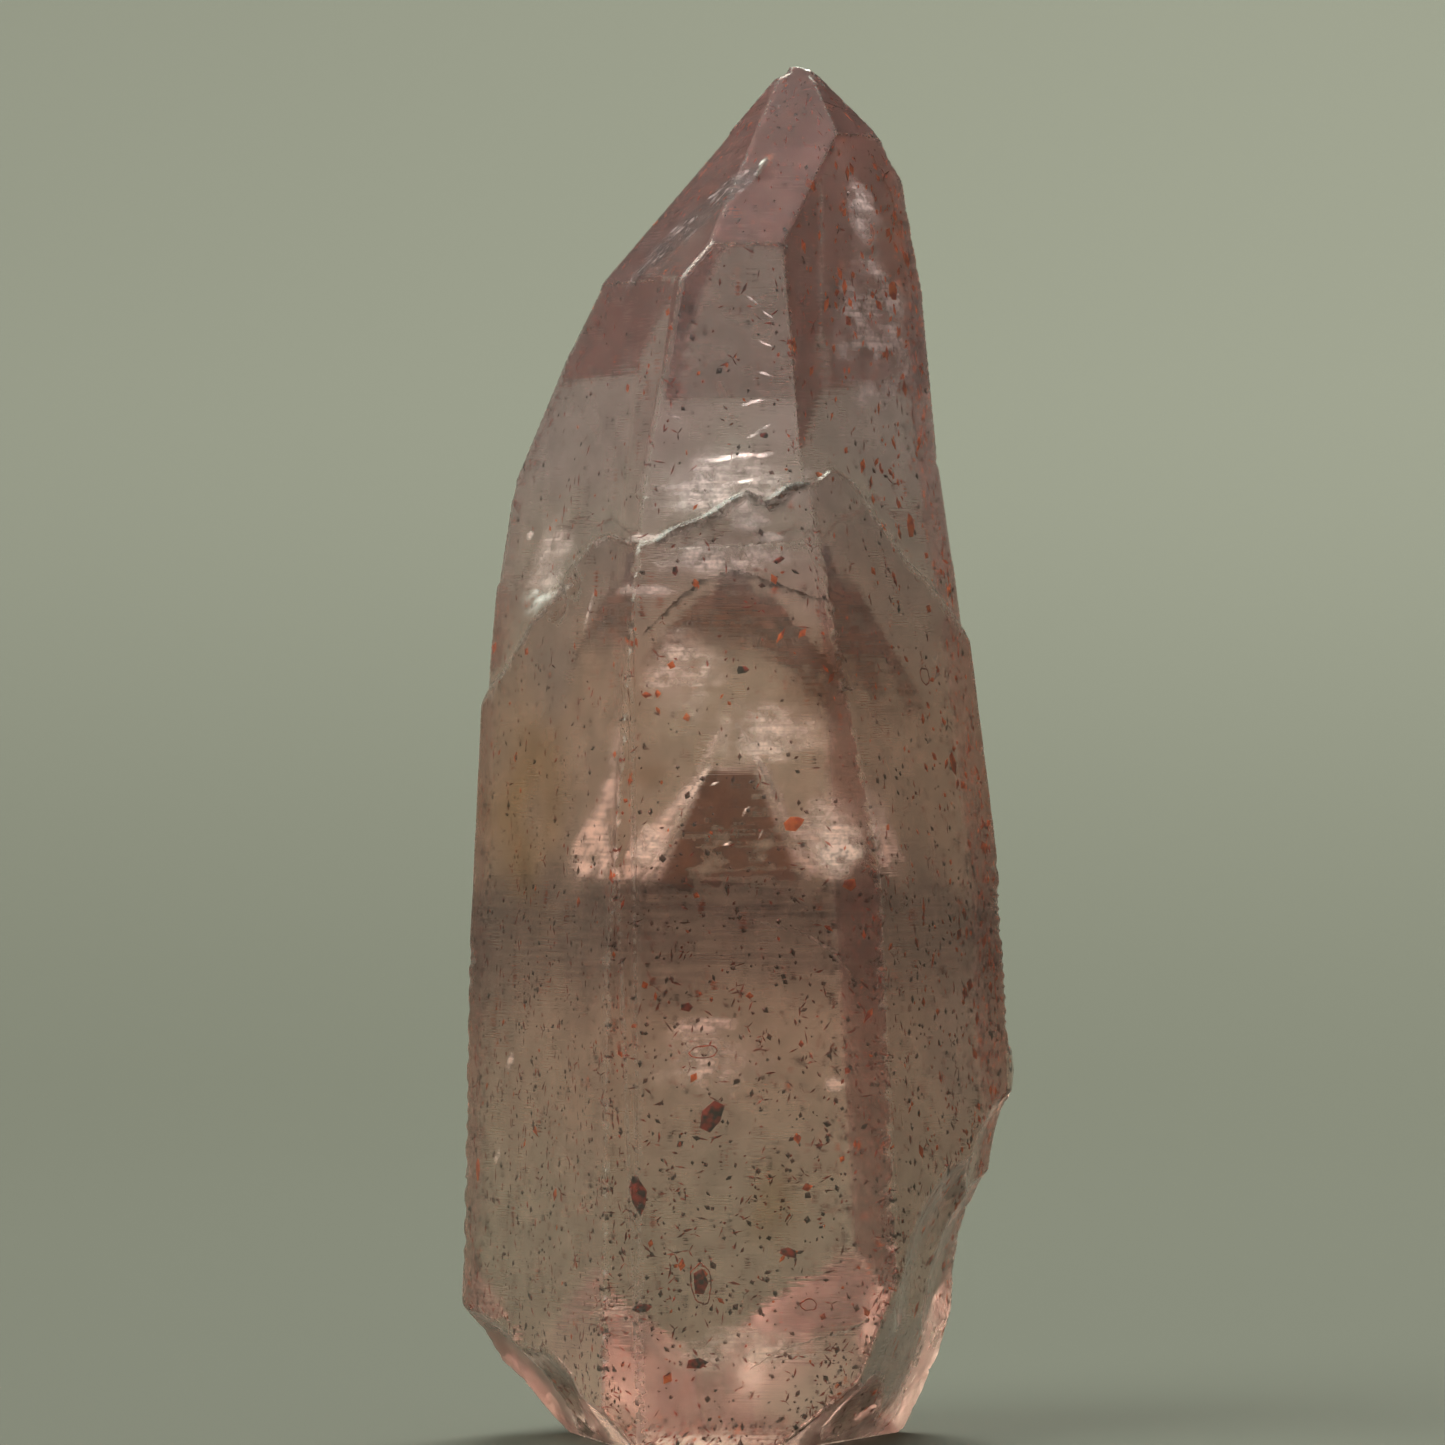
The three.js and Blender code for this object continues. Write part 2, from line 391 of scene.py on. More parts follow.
# The ledge round the middle, as x and z in mm where it is seen from the front
LEDGE = (
    (-7.95, 22.3), (-7.02, 23.62), (-6.32, 24.90), (-5.62, 25.67), (-5.19, 26.50), (-4.67, 27.08),
    (-4.45, 27.38), (-3.96, 27.57), (-3.57, 27.47), (-3.15, 27.29), (-2.53, 27.41), (-2.07, 27.78),
    (-1.46, 28.03), (-0.97, 28.21), (-0.32, 28.64), (0.29, 28.94), (0.90, 28.70), (1.54, 29.10),
    (2.15, 29.20), (2.92, 29.62), (3.50, 29.22), (4.17, 28.21), (5.15, 26.80), (5.83, 26.19),
    (6.75, 25.0), (7.6, 23.9),
)
LEDGE_BEHIND = ((-7.95, 22.3), (-4.0, 25.4), (-0.5, 27.6), (3.5, 27.0), (7.6, 23.9))


def above_ledge(point):
    """How far a point on the crystal lies above the ledge's line, in mm."""
    nearer = VIEW_DISTANCE * MM / (VIEW_DISTANCE * MM + point.y)
    x = point.x / MM * nearer
    line = LEDGE if point.y < 0 else LEDGE_BEHIND
    height = np.interp(x, [place[0] for place in line], [place[1] for place in line])
    return VIEW_PLACE[2] + (point.z / MM - VIEW_PLACE[2]) * nearer - height


def wear_down(mesh, ridges, settings):
    """Dips the faces, and nibbles and smooths the edges. Returns how close each vertex
    lies to an edge, from 0 outside the worn strip to 1 on the edge."""
    moves = []
    closeness = []
    for vertex in mesh.verts:
        away = ridges.find(vertex.co)[2] / settings.edge_band
        edge = max(0.0, 1 - away)
        nibble = max(0.0, wobble(vertex.co, 0.22, 3) + 0.5 * wobble(vertex.co, 0.9, 4) - 0.05)
        swell = 0.5 + 0.5 * wobble(vertex.co, 1.9, 1)
        moves.append(settings.swell * swell * min(1, away) + settings.nibble * nibble * edge)
        closeness.append(edge)
    for vertex, move in zip(mesh.verts, moves):
        vertex.co -= vertex.normal * move
    worn = [vertex for vertex, edge in zip(mesh.verts, closeness) if edge > 0]
    axes = {"use_axis_x": True, "use_axis_y": True, "use_axis_z": True}
    for _ in range(settings.wear):
        bmesh.ops.smooth_vert(mesh, verts=worn, factor=0.5, **axes)
    for vertex in mesh.verts:
        vertex.co.z = max(vertex.co.z, LOWEST)
    return closeness


def build_crystal_mesh(settings):
    """The CAD solid's own mesh, refined and worn."""
    mesh = bmesh.new()
    mesh.from_mesh(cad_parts[CRYSTAL_NODE].data)
    bmesh.ops.remove_doubles(mesh, verts=mesh.verts, dist=WELD * MM)
    bmesh.ops.dissolve_limit(mesh, angle_limit=math.radians(FLAT), verts=mesh.verts, edges=mesh.edges)
    bmesh.ops.triangulate(mesh, faces=mesh.faces, quad_method="BEAUTY", ngon_method="BEAUTY")
    ridges = ridge_points(mesh, math.radians(RIDGE), RIDGE_STEP * MM)
    refine(mesh, ridges, settings)
    mesh.normal_update()
    closeness = wear_down(mesh, ridges, settings)
    heights = [above_ledge(vertex.co) for vertex in mesh.verts]
    data = bpy.data.meshes.new("crystal_quartz")
    mesh.to_mesh(data)
    mesh.free()
    set_values(data, "edge", closeness)
    set_values(data, "above_ledge", heights)
    data.shade_smooth()
    data.set_sharp_from_angle(angle=math.radians(CREASE))
    return data


# Zones of tint: centre and half-widths in mm, colour and strength
TINT_ZONES = {
    "clear above ledge": ((-0.2, -3.0, 28.9), (3.8, 9.0, 2.8), (1.0, 0.96, 0.96), 0.95),
    "clear middle": ((-0.4, -5.0, 21.6), (3.6, 8.0, 5.0), (1.0, 0.84, 0.74), 0.95),
    "clear low": ((-0.8, -6.5, 10.4), (3.0, 2.4, 3.4), (0.84, 0.70, 0.62), 0.5),
    "clear point": ((0.4, -4.0, 34.0), (3.0, 6.0, 4.5), (0.98, 0.84, 0.88), 0.7),
    "pale left": ((-6.0, -4.0, 27.2), (2.2, 5.0, 2.2), (0.98, 0.84, 0.80), 0.7),
    "smoky left": ((-7.0, -3.0, 19.0), (2.1, 5.0, 4.3), (0.58, 0.27, 0.07), 1.0),
    "smoky shoulder": ((-3.0, -6.5, 20.8), (0.8, 1.5, 0.8), (0.50, 0.30, 0.19), 0.6),
    "smoky right": ((2.9, -6.0, 23.4), (1.4, 2.5, 1.6), (0.38, 0.21, 0.13), 0.85),
    "smoky low": ((1.3, -6.5, 7.6), (1.5, 2.5, 1.7), (0.60, 0.40, 0.22), 0.7),
    "violet top": ((1.9, -3.0, 35.0), (1.2, 3.5, 3.0), (0.60, 0.46, 0.60), 0.35),
    "grey under left ledge": ((-6.4, -3.5, 23.4), (1.5, 3.0, 1.6), (0.36, 0.32, 0.37), 0.65),
    "grey under right ledge": ((5.6, -4.0, 24.9), (2.0, 3.0, 2.2), (0.36, 0.31, 0.34), 0.6),
    "violet low right": ((6.0, -3.0, 12.3), (1.8, 3.5, 2.8), (0.34, 0.25, 0.30), 0.65),
    # Brown tint, partly painted shade on the right side
    "brown and painted shade right": ((6.0, -3.0, 20.0), (2.4, 4.0, 5.0), (0.56, 0.31, 0.21), 0.45),
    "grey left low": ((-7.6, -2.0, 13.6), (1.2, 4.0, 3.8), (0.30, 0.26, 0.25), 0.6),
    "rust at the point": ((5.2, -1.0, 37.4), (0.9, 4.0, 3.2), (1.0, 0.60, 0.43), 0.5),
    # Painted glow: a lighter, whiter tint low on the right
    "painted glow right": ((3.0, -6.0, 18.3), (1.1, 2.5, 1.5), (1.0, 0.90, 0.82), 0.6),
}

# Heights in mm over which the tint goes to that of the point and to that of the foot
POINT_TINT = (22.0, 30.0)
FOOT_TINT = (13.5, 6.0)

# Heights in mm of the dark growth band, and over which the foot's frost sets in
BAND_FROM, BAND_TO = 14.1, 17.0
FOOT_FROST = (4.5, 1.5)

# How far back in mm, along Y, the frost of the faces behind sets in
BACK_FROST = (-3.0, 2.5)


def warped_places(tree, place):
    """Places shifted by slow noise, so that the zones have natural outlines."""
    drift = put(tree, "TexNoise", {"Vector": place, "Scale": 0.45, "Detail": 0.0}).outputs["Color"]
    shift = vector(tree, "MULTIPLY", vector(tree, "SUBTRACT", drift, (0.5, 0.5, 0.5)), (2.6, 2.6, 2.6))
    return vector(tree, "ADD", place, shift)


def zoned_tint(tree, warped, height, settings):
    """The quartz's tint from point to foot, with its zones, and with painted shade that darkens the faces
    turned to the sides.
    """
    colour = mix(tree, ease(tree, height, *POINT_TINT), rgba(settings.body_tint), rgba(settings.top_tint))
    colour = mix(tree, ease(tree, height, *FOOT_TINT), colour, rgba(settings.foot_tint))
    for centre, reach, tint, strength in TINT_ZONES.values():
        offset = vector(tree, "SUBTRACT", warped, centre)
        scaled = vector(tree, "MULTIPLY", offset, tuple(1 / half for half in reach))
        share = ease(tree, vector(tree, "LENGTH", scaled), 1.25, 0.2, 0.0, strength)
        colour = mix(tree, share, colour, rgba(tint))
    # Painted shade: faces turned to the right or to the left take a darker tint
    facing = put(tree, "SeparateXYZ", {0: put(tree, "TexCoord").outputs["Normal"]}).outputs["X"]
    right = ease(tree, facing, 0.3, 0.6, 0.0, settings.right_painted_shade_strength)
    left = ease(tree, facing, -0.3, -0.6, 0.0, settings.left_painted_shade_strength)
    colour = mix(tree, right, colour, rgba(settings.right_painted_shade))
    return mix(tree, left, colour, rgba(settings.left_painted_shade))


def with_band(tree, colour, height, lines, settings):
    """Adds the dark growth band, streaked along the growth lines."""
    rise = ease(tree, height, BAND_FROM - 1.8, BAND_FROM + 0.8)
    fall = ease(tree, height, BAND_TO + 0.8, BAND_TO - 0.6)
    band = maths(tree, "MULTIPLY", maths(tree, "MULTIPLY", rise, fall), settings.band_strength)
    streaks = maths(tree, "MULTIPLY", band, ease(tree, lines, 0.0, 1.0, 0.7, 1.1))
    return mix(tree, streaks, colour, rgba(settings.band_tint))


def with_painted_ledge_highlight_and_shade(tree, colour, mottle, settings):
    """Adds a painted highlight, a pale strip just above the ledge, and painted shade just below it."""
    above = put(tree, "Attribute", attribute_name="above_ledge").outputs["Fac"]
    above = maths(tree, "ADD", above, ease(tree, mottle, 0.3, 0.7, -0.12, 0.12))
    # Painted highlight: a pale strip along the top of the ledge
    pale = maths(tree, "MULTIPLY", ease(tree, above, -0.03, 0.05), ease(tree, above, 1.5, 0.05))
    pale = maths(tree, "MULTIPLY", pale, settings.ledge_glow)
    colour = mix(tree, pale, colour, rgba(settings.frost_and_painted_highlight_tint))
    # Painted shade: a darker strip under the ledge, fading downwards
    painted_shade_share = maths(tree, "MULTIPLY", ease(tree, above, 0.04, -0.05), ease(tree, above, -3.0, -0.1))
    painted_shade_share = maths(tree, "MULTIPLY", painted_shade_share, settings.ledge_painted_shade)
    return mix(tree, painted_shade_share, colour, rgba(settings.painted_shade_tint))


def crystal_material(settings):
    """Clear tinted quartz with growth lines, hazy faces and frosted edges."""
    material, tree, shader = new_material("amethyst_quartz")
    place = place_in_mm(tree)
    warped = warped_places(tree, place)
    height = put(tree, "SeparateXYZ", {0: warped}).outputs["Z"]
    mottle = grain(tree, place, 1.1, 2.0, 0.6)
    lines = use_group(tree, "Growth Lines", {"Place": place})
    colour = zoned_tint(tree, warped, height, settings)
    colour = with_band(tree, colour, height, lines["Bands"], settings)
    colour = with_painted_ledge_highlight_and_shade(tree, colour, mottle, settings)
    colour = brightened(tree, colour, ease(tree, mottle, 0.3, 0.7, 0.84, 1.1))
    edge = put(tree, "Attribute", attribute_name="edge").outputs["Fac"]
    flaked = ease(tree, grain(tree, place, 7.0, 1.0), 0.35, 0.6)
    frost = maths(tree, "MULTIPLY", ease(tree, edge, 0.45, 0.95), flaked)
    colour = mix(tree, maths(tree, "MULTIPLY", frost, 0.5), colour, rgba(settings.frost_and_painted_highlight_tint))
    depth = put(tree, "SeparateXYZ", {0: place}).outputs["Y"]
    haze = ease(tree, mottle, 0.3, 0.75, settings.roughness * 0.7, settings.roughness * 1.4)
    haze = maths(tree, "ADD", haze, ease(tree, depth, *BACK_FROST, 0.0, settings.back_frost))
    haze = maths(tree, "ADD", haze, ease(tree, height, *FOOT_FROST, 0.0, settings.foot_frost))
    haze = maths(tree, "ADD", haze, maths(tree, "MULTIPLY", frost, 0.2))
    bump = put(tree, "Bump", {"Height": lines["Height"], "Strength": 1.0, "Distance": settings.line_depth})
    fill(tree, shader, {
        "Base Color": colour,
        "Roughness": haze,
        "Normal": bump.outputs["Normal"],
        "Metallic": 0.0,
        "IOR": QUARTZ_INDEX,
        "Transmission Weight": 1 - settings.milkiness,
    })
    depths = {"Color": rgba(settings.depth_tint), "Density": settings.depth_density}
    absorption = put(tree, "VolumeAbsorption", depths)
    tree.links.new(absorption.outputs["Volume"], tree.nodes["Material Output"].inputs["Volume"])
    return material


def length_property(name, description, default):
    return bpy.props.FloatProperty(
        name=name, description=description, default=default, unit="LENGTH", precision=6
    )


def colour_property(name, description, default):
    return bpy.props.FloatVectorProperty(
        name=name, description=description, default=default, subtype="COLOR", size=3, min=0, max=1
    )


def share_property(name, description, default, top=1.0):
    return bpy.props.FloatProperty(name=name, description=description, default=default, min=0, max=top)


def count_property(name, description, default):
    return bpy.props.IntProperty(name=name, description=description, default=default, min=0)


def watts_property(name, description, default):
    return bpy.props.FloatProperty(
        name=name, description=description, default=default, min=0, unit="POWER"
    )


class CrystalSettings(bpy.types.PropertyGroup):
    rounds: count_property("Rounds", "How often long edges are split", 5)
    face_grain: length_property("Face grain", "Longest mesh edge on the flat faces", 0.55 * MM)
    edge_grain: length_property("Edge grain", "Longest mesh edge beside the crystal's edges", 0.2 * MM)
    edge_band: length_property("Edge band", "Width of the worn strip beside each edge", 0.22 * MM)
    wear: count_property("Wear", "Rounds of smoothing on the worn edges", 3)
    swell: length_property("Swell", "How far the flat faces dip in slow waves", 0.012 * MM)
    nibble: length_property("Nibble", "How far the worn edges are eaten back", 0.035 * MM)
    line_depth: length_property("Line depth", "Relief of the growth lines", 0.009 * MM)
    roughness: share_property("Roughness", "Haze of the natural faces", 0.11)
    back_frost: share_property("Back frost", "Extra haze of the faces behind", 0.14)
    foot_frost: share_property("Foot frost", "Extra haze of the broken foot", 0.10)
    milkiness: share_property("Milkiness", "Share of the light that the quartz scatters", 0.05)
    body_tint: colour_property("Body tint", "Tint of the middle", (0.93, 0.62, 0.52))
    top_tint: colour_property("Top tint", "Tint of the point", (0.94, 0.75, 0.83))
    foot_tint: colour_property("Foot tint", "Tint of the broken foot", (0.84, 0.69, 0.59))
    band_tint: colour_property("Band tint", "Tint of the dark growth band", (0.35, 0.22, 0.205))
    band_strength: share_property("Band strength", "How strongly the dark band shows", 0.85)
    # Used both for frosted worn edges and for the painted highlight above the ledge
    frost_and_painted_highlight_tint: colour_property("Frost tint", "Tint of worn edges and above the ledge", (0.98, 0.90, 0.87))
    # Painted shade on the faces turned to the right and to the left
    right_painted_shade: colour_property("Right tint", "Tint of the faces on the right", (0.58, 0.41, 0.37))
    right_painted_shade_strength: share_property("Right strength", "How strongly the right faces are tinted", 0.35)
    left_painted_shade: colour_property("Left tint", "Tint of the faces on the left", (0.76, 0.54, 0.45))
    left_painted_shade_strength: share_property("Left strength", "How strongly the left faces are tinted", 0.25)
    # Painted highlight above the ledge and painted shade below it
    ledge_glow: share_property("Ledge glow", "How strongly the strip above the ledge is frosted", 0.55)
    painted_shade_tint: colour_property("Shade tint", "Tint just under the ledge", (0.36, 0.26, 0.25))
    ledge_painted_shade: share_property("Ledge shade", "How strongly the strip under the ledge is tinted", 0.42)
    depth_tint: colour_property("Depth tint", "What the quartz lets through", (0.993, 0.970, 0.968))
    depth_density: bpy.props.FloatProperty(
        name="Depth density", description="How fast the quartz absorbs, per metre", default=600.0, min=0
    )


class AMETHYST_OT_crystal(bpy.types.Operator):
    """Builds the see-through quartz point over its solid"""

    bl_idname = "amethyst.crystal"
    bl_label = "Crystal"

    def execute(self, context):
        settings = context.scene.amethyst_crystal
        piece = bpy.data.objects.new("crystal_quartz", build_crystal_mesh(settings))
        context.scene.collection.objects.link(piece)
        finish_piece(piece, crystal_material(settings), smooth=False)
        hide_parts(CRYSTAL_NODE)
        return {"FINISHED"}


# What grew inside: small closed bodies scattered under the faces

# Least distance in mm from a fleck's middle to the surface, and places tried for each fleck
FLECK_MARGIN = 0.16
TRIES = 12

# Depths in mm under the faces
BLACK_DEPTHS = (0.18, 0.9)
RED_DEPTHS = (0.18, 0.7)
RUSTY_DEPTHS = (0.18, 0.6)
FORKED_DEPTHS = (0.18, 0.35)

# The turns in radians of a forked needle's three arms
FORK_TURNS = (0.0, 2.1, 4.2)

# Each shape's corners, and its faces as corner numbers
SHAPES = {
    "grain": (
        ((1, 0, 0), (-1, 0, 0), (0, 1, 0), (0, -1, 0), (0, 0, 1), (0, 0, -1)),
        ((0, 2, 4), (2, 1, 4), (1, 3, 4), (3, 0, 4), (2, 0, 5), (1, 2, 5), (3, 1, 5), (0, 3, 5)),
    ),
    "splinter": (
        ((0, -1, 0), (0, 1, 0), (1, -0.1, 0), (-0.5, 0.1, 0.87), (-0.5, 0.0, -0.87)),
        ((0, 3, 2), (0, 4, 3), (0, 2, 4), (1, 2, 3), (1, 3, 4), (1, 4, 2)),
    ),
    "speck": (
        ((1, 1, 1), (-1, -1, 1), (-1, 1, -1), (1, -1, -1)),
        ((0, 2, 1), (0, 1, 3), (0, 3, 2), (1, 2, 3)),
    ),
}


def unit(vectors):
    return vectors / np.linalg.norm(vectors, axis=-1, keepdims=True)


def scatter(name, shape, centres, axes, dice):
    """One mesh of many uneven copies of a small shape. Each row of axes holds a copy's
    three half-axes in mm, and centres are in mm too."""
    corners, faces = (np.array(part) for part in SHAPES[shape])
    count = len(centres)
    uneven = corners[None] * dice.uniform(0.65, 1.25, (count, len(corners), 1))
    vertices = centres[:, None, :] + np.einsum("nvi,nij->nvj", uneven, axes)
    numbers = faces[None] + (np.arange(count) * len(corners))[:, None, None]
    return new_piece(name, (vertices.reshape(-1, 3) * MM).tolist(), numbers.reshape(-1, 3).tolist())


def under_faces(count, depths, weight, dice):
    """Random places under the crystal's faces, denser where weight says so. Returns the
    places in mm, the face normals, and the up and across directions in each face."""
    _, corners, cross = triangles_of(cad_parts[CRYSTAL_NODE].data)
    doubled_area = np.linalg.norm(cross, axis=1)
    tries = count * TRIES
    places, picked = pick_places(corners, doubled_area, tries, dice)
    normals = cross[picked] / doubled_area[picked][:, None]
    places -= normals * dice.uniform(*depths, (tries, 1))
    chance = dice.random(tries)
    kept = []
    for index, (place, luck) in enumerate(zip(places, chance)):
        if luck < weight(*place) and lies_inside(Vector(place) * MM, FLECK_MARGIN):
            kept.append(index)
        if len(kept) == count:
            break
    places, normals = places[kept], normals[kept]
    up = unit(np.array([0.0, 0.0, 1.0]) - normals * normals[:, 2:3] + 1e-6)
    return places, normals, up, np.cross(up, normals)


def turned_axes(up, across, normals, angles, half_sizes):
    """Half-axes turned in the face by angles, in radians: across, along and through."""
    cosine, sine = np.cos(angles)[:, None], np.sin(angles)[:, None]
    along = up * cosine + across * sine
    side = across * cosine - up * sine
    return np.stack([side, along, normals], 1) * half_sizes[:, :, None]


def fade(value, start, end):
    """0 at start and 1 at end, eased."""
    share = min(1.0, max(0.0, (value - start) / (end - start)))
    return share * share * (3 - 2 * share)


def black_weight(x, y, z):
    """How dense black grains are at a place in mm: most in the lower half."""
    return 0.22 + 0.78 * (1 - fade(z, 13, 24))


def red_weight(x, y, z):
    """How dense red needles are: most in the lower half, in drifts."""
    low = 1 - fade(z, 11, 20)
    crowded = fade(wobble(mm(x, y, z), 3.0, 5), -0.2, 0.5)
    return (0.3 + 0.7 * low) * (0.45 + 0.55 * crowded)


def rusty_weight(x, y, z):
    """How dense rusty flakes are: most down the right edge and in the cloud high on the
    right, and few elsewhere."""
    right = fade(x, 3.2, 6.5) + 0.8 * fade(z, 33, 36) * fade(x, 2.5, 4.2)
    cloud = (1 - fade(abs(z - 33), 2, 6)) * fade(x, 1, 4)
    crowded = fade(wobble(mm(x, y, z), 2.2, 8), -0.1, 0.5)
    return min(1.0, (0.07 + 0.55 * right + 0.5 * cloud) * (0.3 + 0.7 * crowded))


def mineral_material(name, light, dark, roughness, gloss):
    """Opaque mineral, mottled between a light and a dark colour."""
    material, tree, shader = new_material(name)
    values = {"Place": place_in_mm(tree), "Light": rgba(light), "Dark": rgba(dark), "Roughness": roughness}
    mottling = use_group(tree, "Mottling", values)
    fill(tree, shader, {
        "Base Color": mottling["Colour"],
        "Roughness": mottling["Roughness"],
        "Specular IOR Level": gloss,
    })
    return material


class FleckSettings(bpy.types.PropertyGroup):
    black_count: count_property("Black grains", "Number of black grains", 5200)
    red_count: count_property("Red needles", "Number of red needles", 4200)
    rusty_count: count_property("Rusty flakes", "Number of rusty flakes", 1500)
    forked_count: count_property("Forked needles", "Number of forked needles", 420)
    black: colour_property("Black", "Colour of the black grains", (0.030, 0.012, 0.012))
    black_light: colour_property("Black, light", "Lighter patches of the black grains", (0.085, 0.018, 0.014))
    red: colour_property("Red", "Colour of the red needles", (0.30, 0.035, 0.018))
    red_dark: colour_property("Red, dark", "Darker red needles", (0.10, 0.014, 0.010))
    rusty: colour_property("Rusty", "Colour of the rusty flakes", (0.72, 0.16, 0.035))
    rusty_dark: colour_property("Rusty, dark", "Darker rusty flakes", (0.38, 0.05, 0.015))


def black_grains(count, dice):
    """Stubby grains, mostly fine."""
    places, normals, up, across = under_faces(count, BLACK_DEPTHS, black_weight, dice)
    size = 0.034 + 0.07 * dice.random(len(places)) ** 2.4
    sizes = size[:, None] * dice.uniform((0.7, 0.8, 0.5), (1.1, 1.7, 0.9), (len(places), 3))
    angles = dice.normal(0, 0.7, len(places))
    return scatter("flecks_black", "grain", places, turned_axes(up, across, normals, angles, sizes), dice)


def red_needles(count, dice):
    """Thin needles, which lie every way under the front and back faces and stand nearly
    upright under the others."""
    places, normals, up, across = under_faces(count, RED_DEPTHS, red_weight, dice)
    reach = 0.06 + 0.17 * dice.random(len(places)) ** 2.2
    thin = dice.uniform(0.024, 0.055, len(places))
    sizes = np.stack([thin, reach, thin * 0.6], 1)
    level = np.abs(normals[:, 1]) > 0.8
    angles = np.where(level, dice.uniform(-1.6, 1.6, len(places)), dice.normal(0, 0.22, len(places)))
    return scatter("needles_red", "splinter", places, turned_axes(up, across, normals, angles, sizes), dice)


def rusty_flakes(count, dice):
    """Flat flakes that stand more or less upright."""
    places, normals, up, across = under_faces(count, RUSTY_DEPTHS, rusty_weight, dice)
    size = 0.045 + 0.13 * dice.random(len(places)) ** 2.4
    sizes = size[:, None] * dice.uniform((0.5, 0.9, 0.2), (1.0, 1.9, 0.35), (len(places), 3))
    axes = turned_axes(up, across, normals, dice.normal(0, 0.5, len(places)), sizes)
    return scatter("flakes_rusty", "grain", places, axes, dice)


def forked_needles(count, dice):
    """Needles with three arms. The arms' turn goes with the place, so it differs from
    one fork to the next."""
    places, normals, up, across = under_faces(count, FORKED_DEPTHS, red_weight, dice)
    arms = []
    middles = []
    for turn in FORK_TURNS:
        angles = dice.uniform(-0.4, 0.4, len(places)) + turn + (places[:, 0] * 37) % 6.28
        reach = dice.uniform(0.07, 0.19, len(places))
        sizes = np.stack([reach * 0.22, reach, reach * 0.15], 1)
        axes = turned_axes(up, across, normals, angles, sizes)
        arms.append(axes)
        middles.append(places + axes[:, 1] * 0.8)
    return scatter("needles_forked", "splinter", np.concatenate(middles), np.concatenate(arms), dice)


class AMETHYST_OT_flecks(bpy.types.Operator):
    """Scatters the black, red and rusty mineral flecks under the faces"""

    bl_idname = "amethyst.flecks"
    bl_label = "Mineral Flecks"

    def execute(self, context):
        settings = context.scene.amethyst_flecks
        black = mineral_material("black_grains", settings.black_light, settings.black, 0.35, 0.6)
        red = mineral_material("red_needles", settings.red, settings.red_dark, 0.5, 0.4)
        rusty = mineral_material("rusty_flakes", settings.rusty, settings.rusty_dark, 0.7, 0.3)
        dice = np.random.default_rng(11)
        finish_piece(black_grains(settings.black_count, dice), black, smooth=False)
        finish_piece(red_needles(settings.red_count, dice), red, smooth=False)
        finish_piece(rusty_flakes(settings.rusty_count, dice), rusty, smooth=False)
        finish_piece(forked_needles(settings.forked_count, dice), red, smooth=False)
        return {"FINISHED"}


# Ghost faces: the pyramid of a smaller crystal, kept as dust and veils on its faces

# The angle in degrees between a tip face and the axis
GHOST_SLOPE = 38.2

# Each ghost's apex, its reach from axis to side, and its foot's height, in mm
OUTER_GHOST = ((-0.10, 0.0, 26.9), 5.5, 18.0)
INNER_GHOST = ((-0.23, 0.0, 22.24), 4.1, 14.0)

# Longest mesh edge on a ghost, and how far its faces wave, in mm
GHOST_GRAIN = 0.3
GHOST_WAVE = 0.10

# How far dust strays from the outer and from the inner ghost, in mm
OUTER_STRAY = 0.12
INNER_STRAY = 0.10


def ghost_solid(apex, reach, foot):
    """A six-sided pyramid on a prism, reach mm from axis to side, down to foot mm."""
    shoulder = apex[2] - reach / math.tan(math.radians(GHOST_SLOPE))
    corner_reach = reach / math.cos(math.radians(30))
    vertices = [mm(*apex)]
    for height in (shoulder, foot):
        for side in range(6):
            out = heading(30 + 60 * side) * corner_reach * (1 + 0.015 * math.cos(side * 2.1))
            vertices.append(mm(apex[0] + out.x, apex[1] + out.y, height))
    faces = [(7, 8, 9, 10, 11, 12)]
    for side in range(6):
        this, after = 1 + side, 1 + (side + 1) % 6
        faces.append((0, this, after))
        faces.append((this, this + 6, after + 6, after))
    data = bpy.data.meshes.new("ghost")
    data.from_pydata(vertices, [], faces)
    mesh = bmesh.new()
    mesh.from_mesh(data)
    bpy.data.meshes.remove(data)
    bmesh.ops.recalc_face_normals(mesh, faces=mesh.faces)
    bmesh.ops.triangulate(mesh, faces=mesh.faces)
    for _ in range(6):
        long_edges = [edge for edge in mesh.edges if edge.calc_length() > GHOST_GRAIN * MM]
        bmesh.ops.subdivide_edges(mesh, edges=long_edges, cuts=1)
        bmesh.ops.triangulate(mesh, faces=[face for face in mesh.faces if len(face.verts) > 3])
    mesh.normal_update()
    return mesh


def ghost_piece(name, ghost, paint, material):
    """A ghost whose paint function gives colour and cover from azimuth, drop and spot."""
    mesh = ghost_solid(*ghost)
    apex = mm(*ghost[0])
    painted = []
    for vertex in mesh.verts:
        away = vertex.co - apex
        azimuth = math.degrees(math.atan2(away.x, -away.y))
        painted.append(paint(azimuth, -away.z / MM, vertex.co))
    for vertex in mesh.verts:
        vertex.co += vertex.normal * GHOST_WAVE * MM * wobble(vertex.co, 1.1, 6)
    data = bpy.data.meshes.new(name)
    mesh.to_mesh(data)
    mesh.free()
    set_paint(data, painted)
    piece = bpy.data.objects.new(name, data)
    bpy.context.scene.collection.objects.link(piece)
    return finish_piece(piece, material)


# Colours of the dust, the veils and the stain
SMOKE = np.array((0.125, 0.042, 0.014))
UMBER = np.array((0.17, 0.075, 0.042))
SLATE = np.array((0.10, 0.075, 0.085))
DUSK = np.array((0.13, 0.08, 0.075))
MILK = np.array((0.97, 0.93, 0.92))
STAIN = np.array((0.70, 0.15, 0.04))
SOOT = np.array((0.10, 0.07, 0.065))


